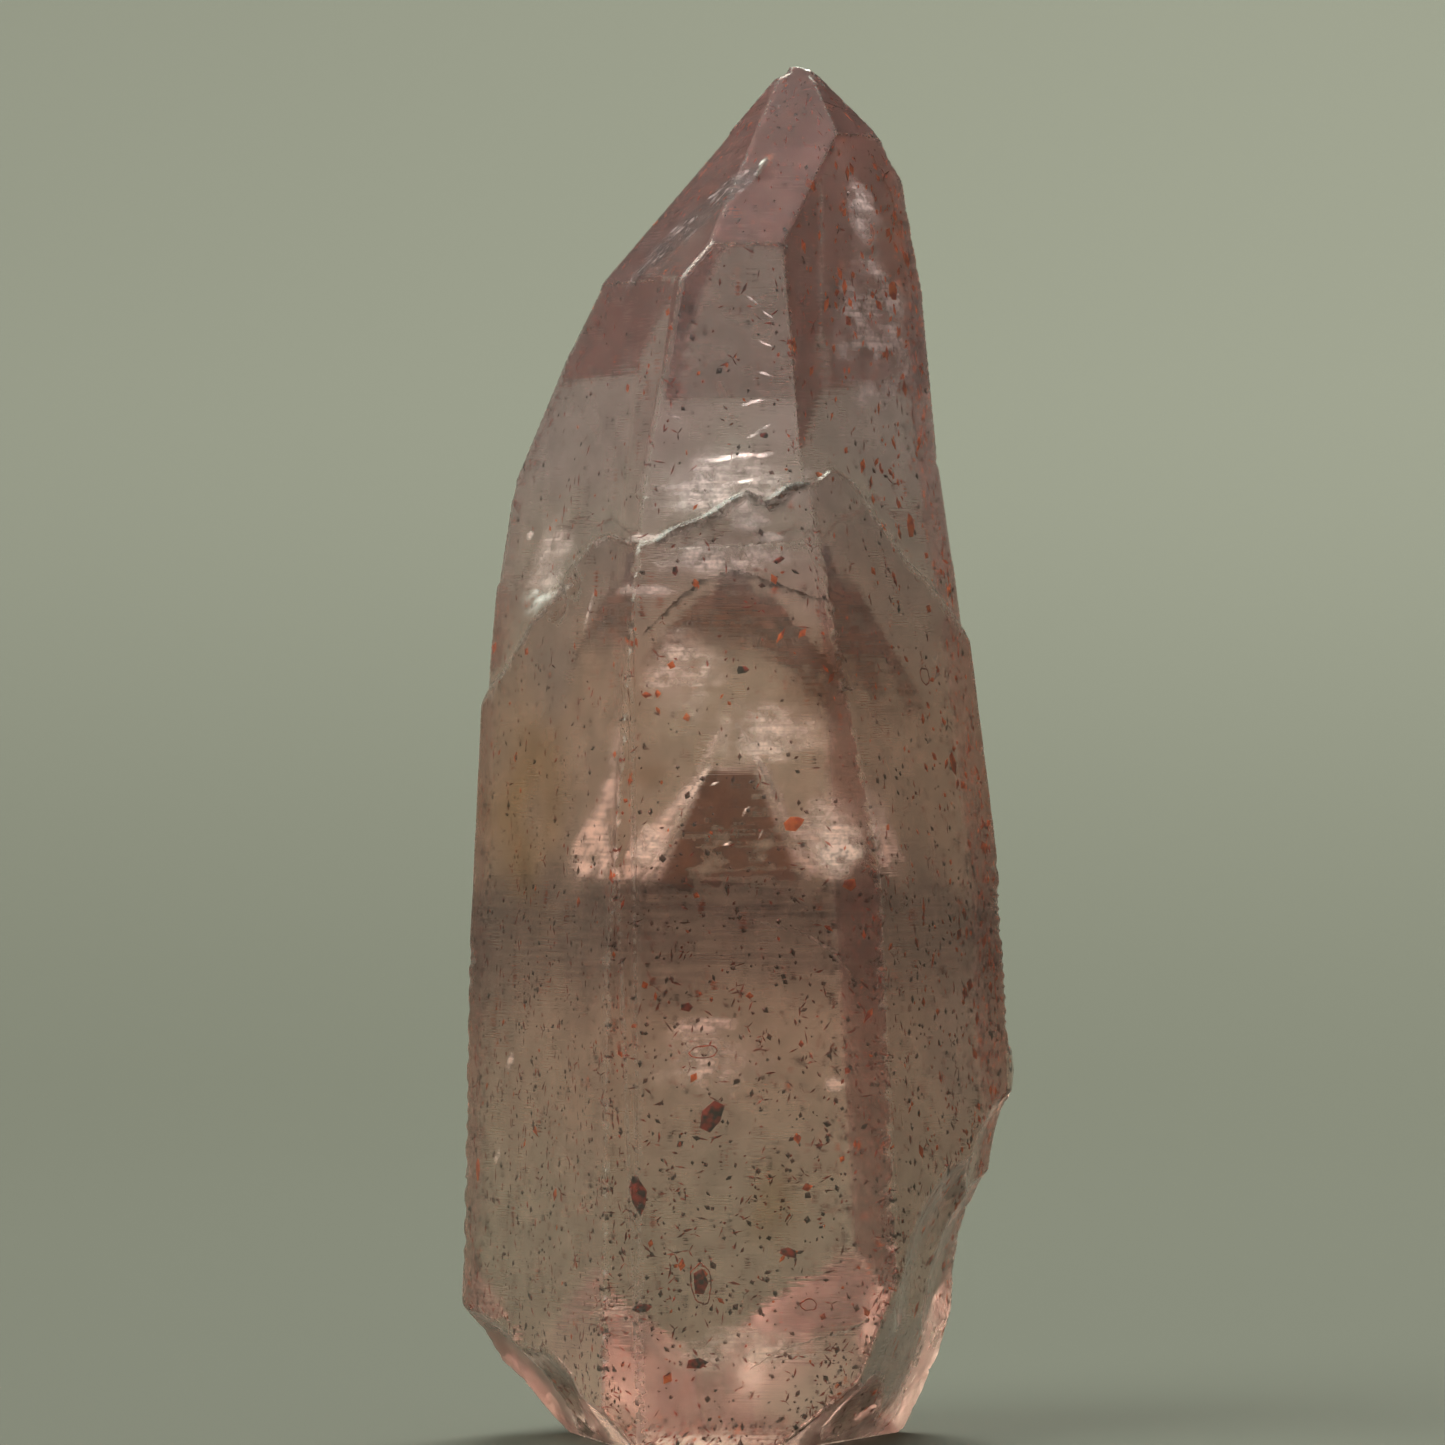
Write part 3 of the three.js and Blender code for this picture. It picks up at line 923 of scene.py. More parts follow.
def blend(first, second, share):
    return first * (1 - share) + second * share


def outer_paint(azimuth, drop, spot):
    """The outer ghost: a dark cap under its top edges that fades out downwards."""
    front = math.exp(-(azimuth / 30) ** 2)
    patch = fade(wobble(spot, 1.5, 9), -0.5, 0.6)
    right = fade(azimuth, 10, 45) * (1 - fade(azimuth, 80, 110))
    aside = fade(abs(azimuth), 32, 60)
    top = fade(drop, 0.9 * aside, 0.35 + 1.4 * aside)
    cap = top * (1 - fade(drop, 1.4 + 1.8 * right, 3.6 + 2.4 * right))
    cover = cap * (0.9 + 0.5 * patch) * (1 - 0.15 * front)
    return blend(SLATE, UMBER, fade(drop, 0.3, 1.8)), cover


def inner_paint(azimuth, drop, spot):
    """The inner ghost: a smoky front face between two milky ones, over a slate foot."""
    front = 1 - fade(abs(azimuth), 25, 33)
    edge = math.exp(-((abs(azimuth) - 38) / 11) ** 2)
    patch = fade(wobble(spot, 1.3, 21), -0.5, 0.5)
    smoky = front * fade(drop, 1.5, 2.0)
    glow = (1 - fade(abs(drop - 4.3), 0.3, 1.3)) * (1 - fade(abs(abs(azimuth) - 48), 10, 24))
    milky = (1 - front) * min(1.2, edge * fade(drop, 0.05, 0.5) + 1.2 * glow)
    ragged = drop + 0.35 * wobble(spot, 0.9, 22)
    foot = fade(ragged, 4.7, 5.6)
    side = 1 - fade(abs(azimuth), 30, 75)
    colour = blend(blend(MILK, SMOKE, smoky), DUSK, foot)
    upper = max(1.45 * smoky, milky * (0.6 + 0.4 * patch)) * (1 - foot)
    lower = (0.35 + 0.35 * patch) * foot * side * (1 - fade(ragged, 5.4, 7.8))
    return colour, upper + lower


def veil_material(name, roughness, clumps, specks, metallic=0.0):
    """Cloudy covering whose colour and amount come from the mesh."""
    material, tree, shader = new_material(name)
    place = place_in_mm(tree)
    amount = put(tree, "Attribute", attribute_name="cover").outputs["Fac"]
    shade = put(tree, "Attribute", attribute_name="shade").outputs["Color"]
    values = {"Place": place, "Amount": amount, "Clump Scale": clumps, "Speck Scale": specks}
    dusting = use_group(tree, "Dusting", values)
    lift = ease(tree, dusting["Shade"], 0.3, 0.7, 0.75, 1.2)
    fill(tree, shader, {
        "Base Color": brightened(tree, shade, lift),
        "Alpha": dusting["Cover"],
        "Roughness": roughness,
        "Metallic": metallic,
    })
    return material


def dust_on(piece, name, count, stray, size, dice, material):
    """Fine opaque specks over a ghost, denser where its cover is."""
    triangles, corners, cross = triangles_of(piece.data)
    cover = np.zeros(len(piece.data.vertices), np.float32)
    piece.data.attributes["cover"].data.foreach_get("value", cover)
    weight = np.linalg.norm(cross, axis=1) * cover[triangles].mean(1)
    places, _ = pick_places(corners, weight, count, dice)
    centres = places + dice.normal(0, stray, (count, 3))
    half = size * (0.5 + dice.random(count) ** 2)
    axes = unit(dice.normal(0, 1, (count, 3, 3))) * half[:, None, None]
    return finish_piece(scatter(name, "speck", centres, axes, dice), material, smooth=False)


class GhostSettings(bpy.types.PropertyGroup):
    outer_specks: count_property("Outer dust", "Number of specks on the outer ghost", 16000)
    inner_specks: count_property("Inner dust", "Number of specks on the inner ghost", 9000)
    speck: length_property("Speck size", "Half-size of a dust speck", 0.011 * MM)
    dust: colour_property("Dust", "Colour of the dust", (0.24, 0.10, 0.05))
    dust_dark: colour_property("Dust, dark", "Darker patches of the dust", (0.05, 0.03, 0.025))


class AMETHYST_OT_ghosts(bpy.types.Operator):
    """Builds the phantom faces and the dust that lies on them"""

    bl_idname = "amethyst.ghosts"
    bl_label = "Phantoms"

    def execute(self, context):
        settings = context.scene.amethyst_ghosts
        dice = np.random.default_rng(29)
        veil = veil_material("ghost_veil", 0.8, 0.9, 5.0)
        dust = mineral_material("dark_dust", settings.dust, settings.dust_dark, 0.7, 0.3)
        size = settings.speck / MM
        outer = ghost_piece("ghost_outer", OUTER_GHOST, outer_paint, veil)
        inner = ghost_piece("ghost_inner", INNER_GHOST, inner_paint, veil)
        dust_on(outer, "dust_outer", settings.outer_specks, OUTER_STRAY, size, dice, dust)
        dust_on(inner, "dust_inner", settings.inner_specks, INNER_STRAY, size, dice, dust)
        return {"FINISHED"}


# Veils, glints and healed cracks: thin closed lenses and ribbons

# Thickness of a ribbon in mm, mesh steps between two places of its line, and rows across
RIBBON_THICK = 0.03
RIBBON_STEPS = 14
RIBBON_ROWS = 7

# Points of a ribbon closer than this, in mm, are one, so that its rim is closed
RIBBON_WELD = 0.0005


def lens(name, centre, across, along, thick, paint, wave, rings=12, spokes=40):
    """A thin lens round centre that bends by up to wave, with half-axes across and along,
    all in metres. Its paint function gives colour and cover from the share of the way
    to the rim and the spot."""
    through = across.cross(along).normalized()

    def spot_at(ring, spoke, side):
        out = ring / rings
        turn = 2 * math.pi * spoke / spokes
        ragged = 1 + 0.22 * wobble(Vector((math.cos(turn), math.sin(turn), rings)) * MM * 1.3, 1.0)
        flat = (across * math.cos(turn) + along * math.sin(turn)) * out * ragged
        bend = wave * wobble(centre + flat, 0.8, 2) + side * thick / 2 * (1 - out ** 2)
        return centre + flat + through * bend

    vertices = []
    shares = []
    for side in (1, -1):
        for ring in range(rings):
            for spoke in range(spokes if ring else 1):
                vertices.append(spot_at(ring, spoke, side))
                shares.append(ring / rings)
    rim = len(vertices)
    for spoke in range(spokes):
        vertices.append(spot_at(rings, spoke, 0))
        shares.append(1.0)

    def corner(base, ring, spoke):
        if ring == 0:
            return base
        if ring == rings:
            return rim + spoke % spokes
        return base + 1 + (ring - 1) * spokes + spoke % spokes

    faces = []
    for back in (False, True):
        base = rim // 2 if back else 0
        for spoke in range(spokes):
            middle = (corner(base, 0, 0), corner(base, 1, spoke), corner(base, 1, spoke + 1))
            faces.append(turned_over(middle, back))
            for ring in range(1, rings):
                face = (corner(base, ring, spoke), corner(base, ring + 1, spoke),
                        corner(base, ring + 1, spoke + 1), corner(base, ring, spoke + 1))
                faces.append(turned_over(face, back))
    piece = new_piece(name, vertices, faces)
    set_paint(piece.data, [paint(out, spot) for out, spot in zip(shares, vertices)])
    return piece


def jagged_line(line, depth):
    """Places depth mm under the surface along a line of (x, z) places seen from the front,
    with small jags up and down."""
    path = []
    for (x, z), (next_x, next_z) in zip(line, line[1:]):
        for step in range(RIBBON_STEPS):
            share = step / RIBBON_STEPS
            path.append((x + (next_x - x) * share, z + (next_z - z) * share))
    path.append(line[-1])
    places = []
    for index, (x, z) in enumerate(path):
        jag = 0.07 * noise.noise(Vector((index * 0.31, 4.2, 0)))
        jag += 0.05 * noise.noise(Vector((index * 1.1, 9.1, 0)))
        places.append(seen_at(x, z, depth)[0] + Vector((0, 0, jag * MM)))
    return places


def ribbon(name, line, depth, width, lean, paint):
    """A thin jagged sheet that starts on a line of (x, z) places seen from the front,
    depth mm under the surface, and leans away along lean for width mm."""
    away = Vector(lean).normalized() * MM
    starts = jagged_line(line, depth)
    vertices = []
    shares = []
    count = len(starts)
    for side in (1, -1):
        for index, start in enumerate(starts):
            ends = min(1.0, 6 * index / count, 6 * (count - 1 - index) / count)
            uneven = 0.8 + 0.4 * noise.noise(Vector((index * 0.17, 1.7, 0)))
            reach = width * (0.25 + 0.75 * ends) * uneven
            for row in range(RIBBON_ROWS + 1):
                out = row / RIBBON_ROWS
                spot = start + away * reach * out
                body = side * RIBBON_THICK * MM * math.sin(math.pi * out) * min(1, ends * 3) / 2
                wave = 0.10 * MM * wobble(spot, 0.5, 7)
                vertices.append(spot + Vector((0, body, wave * out)))
                shares.append(out)
    faces = []
    row_size = RIBBON_ROWS + 1
    for side in (0, 1):
        for index in range(count - 1):
            for row in range(RIBBON_ROWS):
                first = side * count * row_size + index * row_size + row
                face = (first, first + row_size, first + row_size + 1, first + 1)
                faces.append(turned_over(face, side == 0))
    piece = new_piece(name, vertices, faces)
    set_paint(piece.data, [paint(out, spot) for out, spot in zip(shares, vertices)])
    weld = bmesh.new()
    weld.from_mesh(piece.data)
    bmesh.ops.remove_doubles(weld, verts=weld.verts, dist=RIBBON_WELD * MM)
    weld.to_mesh(piece.data)
    weld.free()
    return piece


# Lines that ribbons start on, as x and z in mm seen from the front
FRONT_LEDGE = ((-2.53, 27.41), (-2.07, 27.78), (-1.46, 28.03), (-0.97, 28.21), (-0.32, 28.64),
               (0.29, 28.94), (0.90, 28.70), (1.54, 29.10), (2.15, 29.20))
GHOST_CREST = ((-2.9, 24.6), (-1.88, 25.61), (-1.15, 26.22), (-0.05, 26.59), (0.99, 26.22),
               (1.91, 25.85), (2.75, 25.60))
LEFT_LEDGE = ((-7.3, 23.2), *LEDGE[1:10])
RIGHT_LEDGE = ((2.49, 29.34), *LEDGE[19:25], (7.0, 24.6))
LOW_ARC = ((0.7, 15.8), (1.9, 15.5), (3.0, 14.9), (3.7, 13.8))
FOOT_ARC = ((0.38, 2.11), (1.42, 2.75), (2.5, 3.05), (3.50, 3.33), (3.99, 3.64))
STAIN_LINE = ((4.1, 39.3), (4.7, 38.1), (5.0, 36.9), (5.15, 35.9))

# Milky lenses: x and z seen from the front, depth, half-width and half-height, in mm
MILKY_SPOTS = {
    "ledge": (0.38, 28.0, 1.3, 0.75, 0.45), "shoulder": (-2.65, 25.9, 1.2, 1.0, 0.32),
    "wedge": (-2.75, 27.45, 0.6, 0.7, 0.26), "left high": (-6.35, 27.6, 0.5, 0.25, 0.22),
    "left low": (-6.95, 11.5, 0.7, 0.28, 0.42), "right low": (2.98, 10.8, 1.0, 0.42, 0.36),
    "left foot": (-7.35, 8.6, 0.5, 0.22, 0.35), "middle": (-1.0, 12.6, 3.0, 1.2, 0.4),
    "glow left": (-2.75, 18.1, 0.8, 0.6, 0.9), "glow right": (3.1, 18.1, 0.7, 0.9, 1.5),
    "chip": (-4.55, 25.3, 0.4, 0.14, 0.75), "chip side": (-5.3, 25.9, 0.5, 0.6, 0.2),
    "under ledge": (1.0, 27.5, 0.9, 0.6, 0.25),
}

# Wide faint lenses, in the same order
HAZES = {
    "ledge": (-0.3, 29.0, 1.2, 2.6, 1.8), "left": (-5.7, 26.8, 0.7, 1.5, 2.2),
    "under": (-0.6, 26.9, 0.7, 2.6, 1.0), "middle": (-1.7, 23.4, 1.0, 1.5, 2.2),
    "right": (2.9, 18.6, 1.8, 1.3, 2.0), "low": (-0.9, 11.6, 2.4, 2.2, 1.6),
    "foot": (0.2, 2.6, 1.2, 2.6, 1.2), "right high": (3.9, 37.4, 0.8, 1.0, 1.7),
    "front": (0.9, 21.6, 1.2, 2.2, 1.6),
}

# Streaks of trapped air: x and z of both ends seen from the front, depth and half-height,
# in mm
BRIGHT_STREAKS = {
    "upper": ((-1.55, 29.80), (1.33, 30.14), 0.9, 0.14), "lower": ((-0.97, 28.97), (0.90, 29.37), 1.0, 0.12),
    "arc 1": ((0.20, 30.55), (1.10, 31.0), 1.2, 0.06), "arc 2": ((0.0, 31.55), (1.0, 31.75), 1.1, 0.07),
    "arc 3": ((0.55, 32.6), (1.15, 32.45), 0.9, 0.05), "arc 4": ((0.6, 33.6), (1.1, 33.35), 0.8, 0.05),
    "arc 5": ((0.75, 34.5), (1.15, 34.2), 0.8, 0.05), "arc 6": ((0.15, 35.0), (0.75, 34.6), 0.8, 0.05),
    "left 1": ((-2.2, 31.3), (-1.7, 31.1), 0.8, 0.06),
    "core 1": ((-0.9, 19.9), (-0.5, 20.1), 2.6, 0.07), "core 2": ((0.1, 19.0), (0.45, 19.3), 2.6, 0.06),
    "core 3": ((-0.5, 18.1), (-0.2, 18.2), 2.6, 0.05), "core 4": ((0.6, 18.3), (0.8, 18.6), 2.6, 0.05),
}

# Milky streaks, in the same order
MILKY_STREAKS = {
    "ghost arm": ((-0.15, 22.1), (1.75, 18.6), 3.2, 0.35),
    "ghost arm left": ((-0.5, 21.2), (-2.1, 18.4), 3.2, 0.28),
    "wedge": ((-3.0, 27.35), (-2.2, 27.6), 0.35, 0.12),
    "ledge glow": ((-0.2, 28.1), (0.9, 27.9), 0.8, 0.22),
}

# The cloud high on the right: x, z and depth in mm
RIGHT_CLOUD = (4.2, 33.6, 1.1)

# The dark cloud under the point's left face: x, z, width, height, turn in degrees and depth
POINT_CLOUD = (-1.25, 37.3, 1.5, 6.4, -34, 0.5)


def milk_paint(out, spot):
    """White, densest in the middle."""
    return MILK, (1 - fade(out, 0.1, 1.0)) * 1.15


def haze_paint(out, spot):
    """Faint patchy white."""
    return MILK, (1 - fade(out, 0.1, 1.0)) * (0.25 + 0.5 * fade(wobble(spot, 1.1, 15), -0.4, 0.4))


def dusk_paint(out, spot):
    """Dark dust with painted glints in it, as pale specks."""
    painted_glint = fade(wobble(spot, 0.16, 23), 0.25, 0.4)
    return blend(SOOT, MILK, painted_glint), (1 - fade(out, 0.75, 1.0)) * 0.6


def cloud_paint(out, spot):
    """White in clear patches, nearly up to the rim."""
    patch = fade(wobble(spot, 0.9, 12), -0.35, 0.45)
    return MILK, (1 - fade(out, 0.45, 1.0)) * (0.15 + 0.75 * patch)


def crest_paint(out, spot):
    """Dark line at the crest, clearing away from it."""
    return blend(SLATE, UMBER, fade(wobble(spot, 0.6, 2), -0.3, 0.4)), 0.85 * (1 - fade(out, 0.0, 0.8))


def ledge_stain_and_painted_shadow(out, spot):
    """Dark brown line at the ledge, part staining in the crack and part painted shadow, with milky stretches
    behind it.
    """
    pale = fade(wobble(spot, 0.7, 14), -0.15, 0.35)
    return blend(UMBER, MILK, pale * fade(out, 0.15, 0.5)), 0.75 * (1 - fade(out, 0.35, 1.0))


def pale_paint(out, spot):
    """White line that breaks up along its length."""
    broken = 0.45 + 0.55 * fade(wobble(spot, 0.6, 17), -0.3, 0.2)
    return MILK, broken * (1 - fade(out, 0.2, 1.0))


def stain_paint(out, spot):
    """Patchy rust."""
    return STAIN, (1 - fade(out, 0.3, 1.0)) * (0.4 + 0.8 * fade(wobble(spot, 0.4, 19), -0.2, 0.2))


# Each ribbon's line, depth and width in mm, direction and paint
RIBBONS = {
    # The ledge crack's dark line is partly painted shadow
    "crack_ledge": (FRONT_LEDGE, 0.25, 1.0, (0.1, 0.8, -0.75), ledge_stain_and_painted_shadow),
    "crack_ledge_left": (LEFT_LEDGE, 0.22, 0.35, (0.5, 0.4, -0.77), pale_paint),
    "crack_ledge_right": (RIGHT_LEDGE, 0.22, 0.30, (-0.5, 0.4, -0.77), pale_paint),
    "crack_crest": (GHOST_CREST, 2.0, 0.8, (0.0, 0.85, -0.6), crest_paint),
    "veil_arc": (LOW_ARC, 0.8, 0.4, (0.1, 0.8, -0.6), pale_paint),
    "veil_foot": (FOOT_ARC, 0.3, 0.25, (0.0, 0.6, -0.8), pale_paint),
    "stain_point": (STAIN_LINE, 0.2, 0.4, (-0.4, 0.4, -0.8), stain_paint),
}


def spot_lens(name, x, z, depth, wide, tall, paint):
    """A lens that leans back under the face seen at (x, z) mm, with its half-sizes in mm."""
    centre, side, up, normal = seat_at(x, z, depth)
    lean = (up * 0.85 - normal * 0.5).normalized()
    return lens(name.replace(" ", "_"), centre, side * wide * MM, lean * tall * MM,
                0.05 * MM, paint, 0.08 * MM)


def streak_lens(name, start, end, depth, tall):
    """A narrow milky lens between two places seen from the front, leaning back a little."""
    first, _ = seen_at(*start, depth)
    last, _ = seen_at(*end, depth)
    lean = Vector((0, 0.5, 1)).normalized() * tall * MM
    return lens(name.replace(" ", "_"), (first + last) / 2, (last - first) / 2, lean,
                0.04 * MM, milk_paint, 0.12 * MM, 8, 32)


def right_cloud():
    """The broad milky cloud high on the right, leaning back to its left and its foot."""
    centre, side, up, normal = seat_at(*RIGHT_CLOUD)
    across = (side * 2.2 + normal * 0.5) * MM
    along = (up * 3.1 - normal * 0.3) * MM
    return lens("veil_cloud_right", centre, across, along, 0.08 * MM, cloud_paint, 0.3 * MM, 20, 64)


class AMETHYST_OT_veils(bpy.types.Operator):
    """Builds the milky veils, the bright glints and the healed cracks"""

    bl_idname = "amethyst.veils"
    bl_label = "Veils and Cracks"

    def execute(self, context):
        veil = veil_material("milky_veil", 0.45, 2.2, 9.0)
        crack = veil_material("crack_veil", 0.5, 3.0, 9.0)
        shine = veil_material("air_film", 0.35, 2.2, 9.0, 1.0)
        for key, values in MILKY_SPOTS.items():
            finish_piece(spot_lens("veil_" + key, *values, milk_paint), veil)
        for key, values in HAZES.items():
            finish_piece(spot_lens("haze_" + key, *values, haze_paint), veil)
        for key, values in BRIGHT_STREAKS.items():
            finish_piece(streak_lens("glint_" + key, *values), shine)
        for key, values in MILKY_STREAKS.items():
            finish_piece(streak_lens("glint_" + key, *values), veil)
        finish_piece(right_cloud(), veil)
        for name, values in RIBBONS.items():
            finish_piece(ribbon(name, *values), crack)
        centre, across, along, _ = plate_seat(*POINT_CLOUD)
        cloud = lens("veil_point", centre, across, along, 0.08 * MM, dusk_paint, 0.1 * MM)
        finish_piece(cloud, crack)
        return {"FINISHED"}


# The larger iron plates, the rings and the rusty patches: x and z seen from the front,
# width and height in mm, and turn in degrees

PLATES = {
    "hexagon": (-1.12, 4.71, 0.46, 0.95, 5), "blade": (-0.78, 9.79, 0.62, 0.98, -28),
    "long": (-3.05, 7.46, 0.50, 1.15, 12), "foot": (-1.24, 2.26, 0.64, 0.36, 4),
    "low_left": (-2.92, 3.94, 0.58, 0.32, 8), "low_right": (1.60, 5.63, 0.58, 0.28, -10),
    "black": (-1.55, 13.15, 0.40, 0.28, 0), "red_high": (0.14, 23.47, 0.42, 0.24, 0),
    "dot_high": (0.81, 30.66, 0.24, 0.20, 0), "oval_left": (-1.91, 26.50, 0.20, 0.30, -8),
    "oval_right": (1.27, 26.83, 0.34, 0.18, 15),
}
RINGS = {
    "ring_low": (2.19, 4.04, 0.50, 0.32, 0), "ring_open": (-1.03, 11.78, 0.85, 0.36, 6),
    "ring_right": (5.74, 23.28, 0.45, 0.5, 30), "ring_hexagon": (-1.12, 4.71, 0.62, 1.15, 5),
}
RUSTY_SPOTS = {
    "middle": (1.76, 18.79, 0.62, 0.44, 20), "low": (3.44, 16.89, 0.5, 0.36, -15),
    "ledge": (2.52, 29.4, 0.42, 0.22, -25), "left_edge": (-7.95, 8.17, 0.24, 0.70, 0),
    "right_edge": (6.6, 20.6, 0.3, 0.7, 5), "right_high": (5.3, 27.9, 0.4, 0.8, -8),
    "tip_right": (4.75, 35.1, 0.4, 0.6, 0),
}


def plate_seat(x, z, wide, tall, turn, depth=0.15):
    """Centre, half-axes and normal of a plate depth mm under the face seen at (x, z) mm."""
    centre, side, up, normal = seat_at(x, z, depth)
    angle = math.radians(turn)
    across = (side * math.cos(angle) + up * math.sin(angle)) * wide / 2 * MM
    along = (up * math.cos(angle) - side * math.sin(angle)) * tall / 2 * MM
    return centre, across, along, normal


def plate(name, seat, seed):
    """An uneven plate with five to seven corners, thin at its rim."""
    centre, across, along, normal = seat
    rings = (0.0, 0.55, 0.85, 1.0)
    corners = 5 + seed % 3
    vertices = []
    for side in (1, -1):
        for out in rings:
            for corner in range(corners if out else 1):
                turn = 2 * math.pi * corner / corners
                ragged = 1 + 0.45 * noise.noise(Vector((corner * 1.7, seed * 3.3, 0.5)))
                flat = (across * math.cos(turn) + along * math.sin(turn)) * out * ragged
                rough = 0.012 * noise.noise(Vector((corner * 2.9, seed, out * 5)))
                thick = (0.035 * (1 - out ** 3) + 0.004 + rough * (1 - out)) * MM * side
                vertices.append(centre + flat + normal * thick)
    half = len(vertices) // 2
    faces = []
    for back in (False, True):
        base = half if back else 0
        for corner in range(corners):
            after = (corner + 1) % corners
            faces.append(turned_over((base, base + 1 + corner, base + 1 + after), back))
            for step in range(len(rings) - 2):
                near = base + 1 + step * corners
                far = near + corners
                face = (near + corner, far + corner, far + after, near + after)
                faces.append(turned_over(face, back))
    outer = half - corners
    for corner in range(corners):
        after = (corner + 1) % corners
        faces.append((outer + corner, half + outer + corner, half + outer + after, outer + after))
    return new_piece(name, vertices, faces)


def ring(name, seat, seed, around=22, section=6):
    """A thin uneven loop round the rim of a plate that was dissolved away."""
    centre, across, along, normal = seat
    vertices = []
    for step in range(around):
        turn = 2 * math.pi * step / around
        ragged = 1 + 0.25 * noise.noise(Vector((math.cos(turn) * 1.6, math.sin(turn) * 1.6, seed)))
        spot = centre + (across * math.cos(turn) + along * math.sin(turn)) * ragged
        out = (spot - centre).normalized()
        thick = (0.022 + 0.016 * noise.noise(Vector((turn * 2, seed, 1)))) * MM
        for corner in range(section):
            roll = 2 * math.pi * corner / section
            vertices.append(spot + (out * math.cos(roll) + normal * math.sin(roll)) * thick)
    faces = []
    for step in range(around):
        for corner in range(section):
            after = (corner + 1) % section
            here, there = step * section, (step + 1) % around * section
            faces.append((here + corner, here + after, there + after, there + corner))
    return new_piece(name, vertices, faces)


class PlateSettings(bpy.types.PropertyGroup):
    plate: colour_property("Plate", "Lighter patches of the iron plates", (0.34, 0.030, 0.018))
    plate_dark: colour_property("Plate, dark", "Colour of the iron plates", (0.020, 0.005, 0.005))
    ring: colour_property("Ring", "Colour of the rings", (0.42, 0.05, 0.02))
    ring_dark: colour_property("Ring, dark", "Darker patches of the rings", (0.14, 0.02, 0.012))
    rusty: colour_property("Rust", "Colour of the rusty patches", (0.75, 0.19, 0.05))
    rusty_dark: colour_property("Rust, dark", "Darker rust of the patches", (0.45, 0.07, 0.02))


class AMETHYST_OT_plates(bpy.types.Operator):
    """Builds the larger iron plates, rings and rusty patches"""

    bl_idname = "amethyst.plates"
    bl_label = "Plates and Rings"

    def execute(self, context):
        settings = context.scene.amethyst_plates
        dark = mineral_material("dark_plates", settings.plate, settings.plate_dark, 0.5, 0.3)
        red = mineral_material("red_rings", settings.ring, settings.ring_dark, 0.5, 0.4)
        rusty = mineral_material("rusty_patches", settings.rusty, settings.rusty_dark, 0.7, 0.3)
        for seed, (key, values) in enumerate(PLATES.items()):
            finish_piece(plate("plate_" + key, plate_seat(*values), seed), dark, smooth=False)
        for seed, (key, values) in enumerate(RINGS.items()):
            finish_piece(ring(key, plate_seat(*values), seed), red, smooth=False)
        for seed, (key, values) in enumerate(RUSTY_SPOTS.items(), 20):
            finish_piece(plate("rust_" + key, plate_seat(*values), seed), rusty, smooth=False)
        return {"FINISHED"}


# The stage

# Places of the two soft lights and of the spot they point at, in metres
KEY_PLACE = (-0.45, -0.35, 0.62)
BACK_PLACE = (0.06, 0.44, 0.66)
LIT_SPOT = (0, 0, 0.02)

# Edges of the mesh round the sweep, up its curve, and out from the middle and up the wall
SWEEP_AROUND = 96
CURVE_STEPS = 24
FLOOR_STEPS = 8
WALL_STEPS = 4

# How far the floor lies below the crystal's foot, in mm
FLOOR_GAP = 0.02

# Heights in metres over which the paper goes from its low colour, darkened as painted shade,
# to its high colour, lightened as painted light, and how far left and right it goes from darker to lighter,
# as painted light on the right
PAINTED_SHADE_RISE = (-0.02, 0.05)
PAINTED_LIGHT_SIDES = (-0.12, 0.12)


class StageSettings(bpy.types.PropertyGroup):
    floor_reach: length_property("Floor reach", "Radius of the level floor", 0.20)
    sweep: length_property("Sweep", "Radius of the curve from floor to wall", 0.80)
    wall_top: length_property("Wall top", "Height of the wall", 0.95)
    # Paper colours darkened low down as painted shade and lightened up high as painted light
    low_paper_painted_shade: colour_property("Low colour", "Paper colour of the floor", (0.0575, 0.0575, 0.0470))
    high_paper_painted_light: colour_property("High colour", "Paper colour high on the wall", (0.1025, 0.1015, 0.0880))
    sky: share_property("Sky", "Strength of the even light from all sides", 0.65, 10)
    sky_colour: colour_property("Sky colour", "Colour of the even light", (0.90, 0.97, 0.84))
    key: watts_property("Key", "Power of the large front light", 10.0)
    key_size: length_property("Key size", "Width of the front light", 0.6)
    back: watts_property("Back", "Power of the back light", 12.0)
    back_size: length_property("Back size", "Width of the back light", 0.45)
    light_colour: colour_property("Light colour", "Colour of both lights", (0.94, 1.0, 0.86))


def sweep_profile(settings):
    """Radius and height of points from the middle of the floor to the wall's top."""
    points = [(settings.floor_reach * step / FLOOR_STEPS, 0.0) for step in range(FLOOR_STEPS + 1)]
    for step in range(1, CURVE_STEPS + 1):
        turn = math.radians(90 * step / CURVE_STEPS)
        out = settings.floor_reach + settings.sweep * math.sin(turn)
        points.append((out, settings.sweep * (1 - math.cos(turn))))
    wall = settings.floor_reach + settings.sweep
    rise = settings.wall_top - settings.sweep
    points.extend((wall, settings.sweep + rise * step / WALL_STEPS) for step in range(1, WALL_STEPS + 1))
    return points


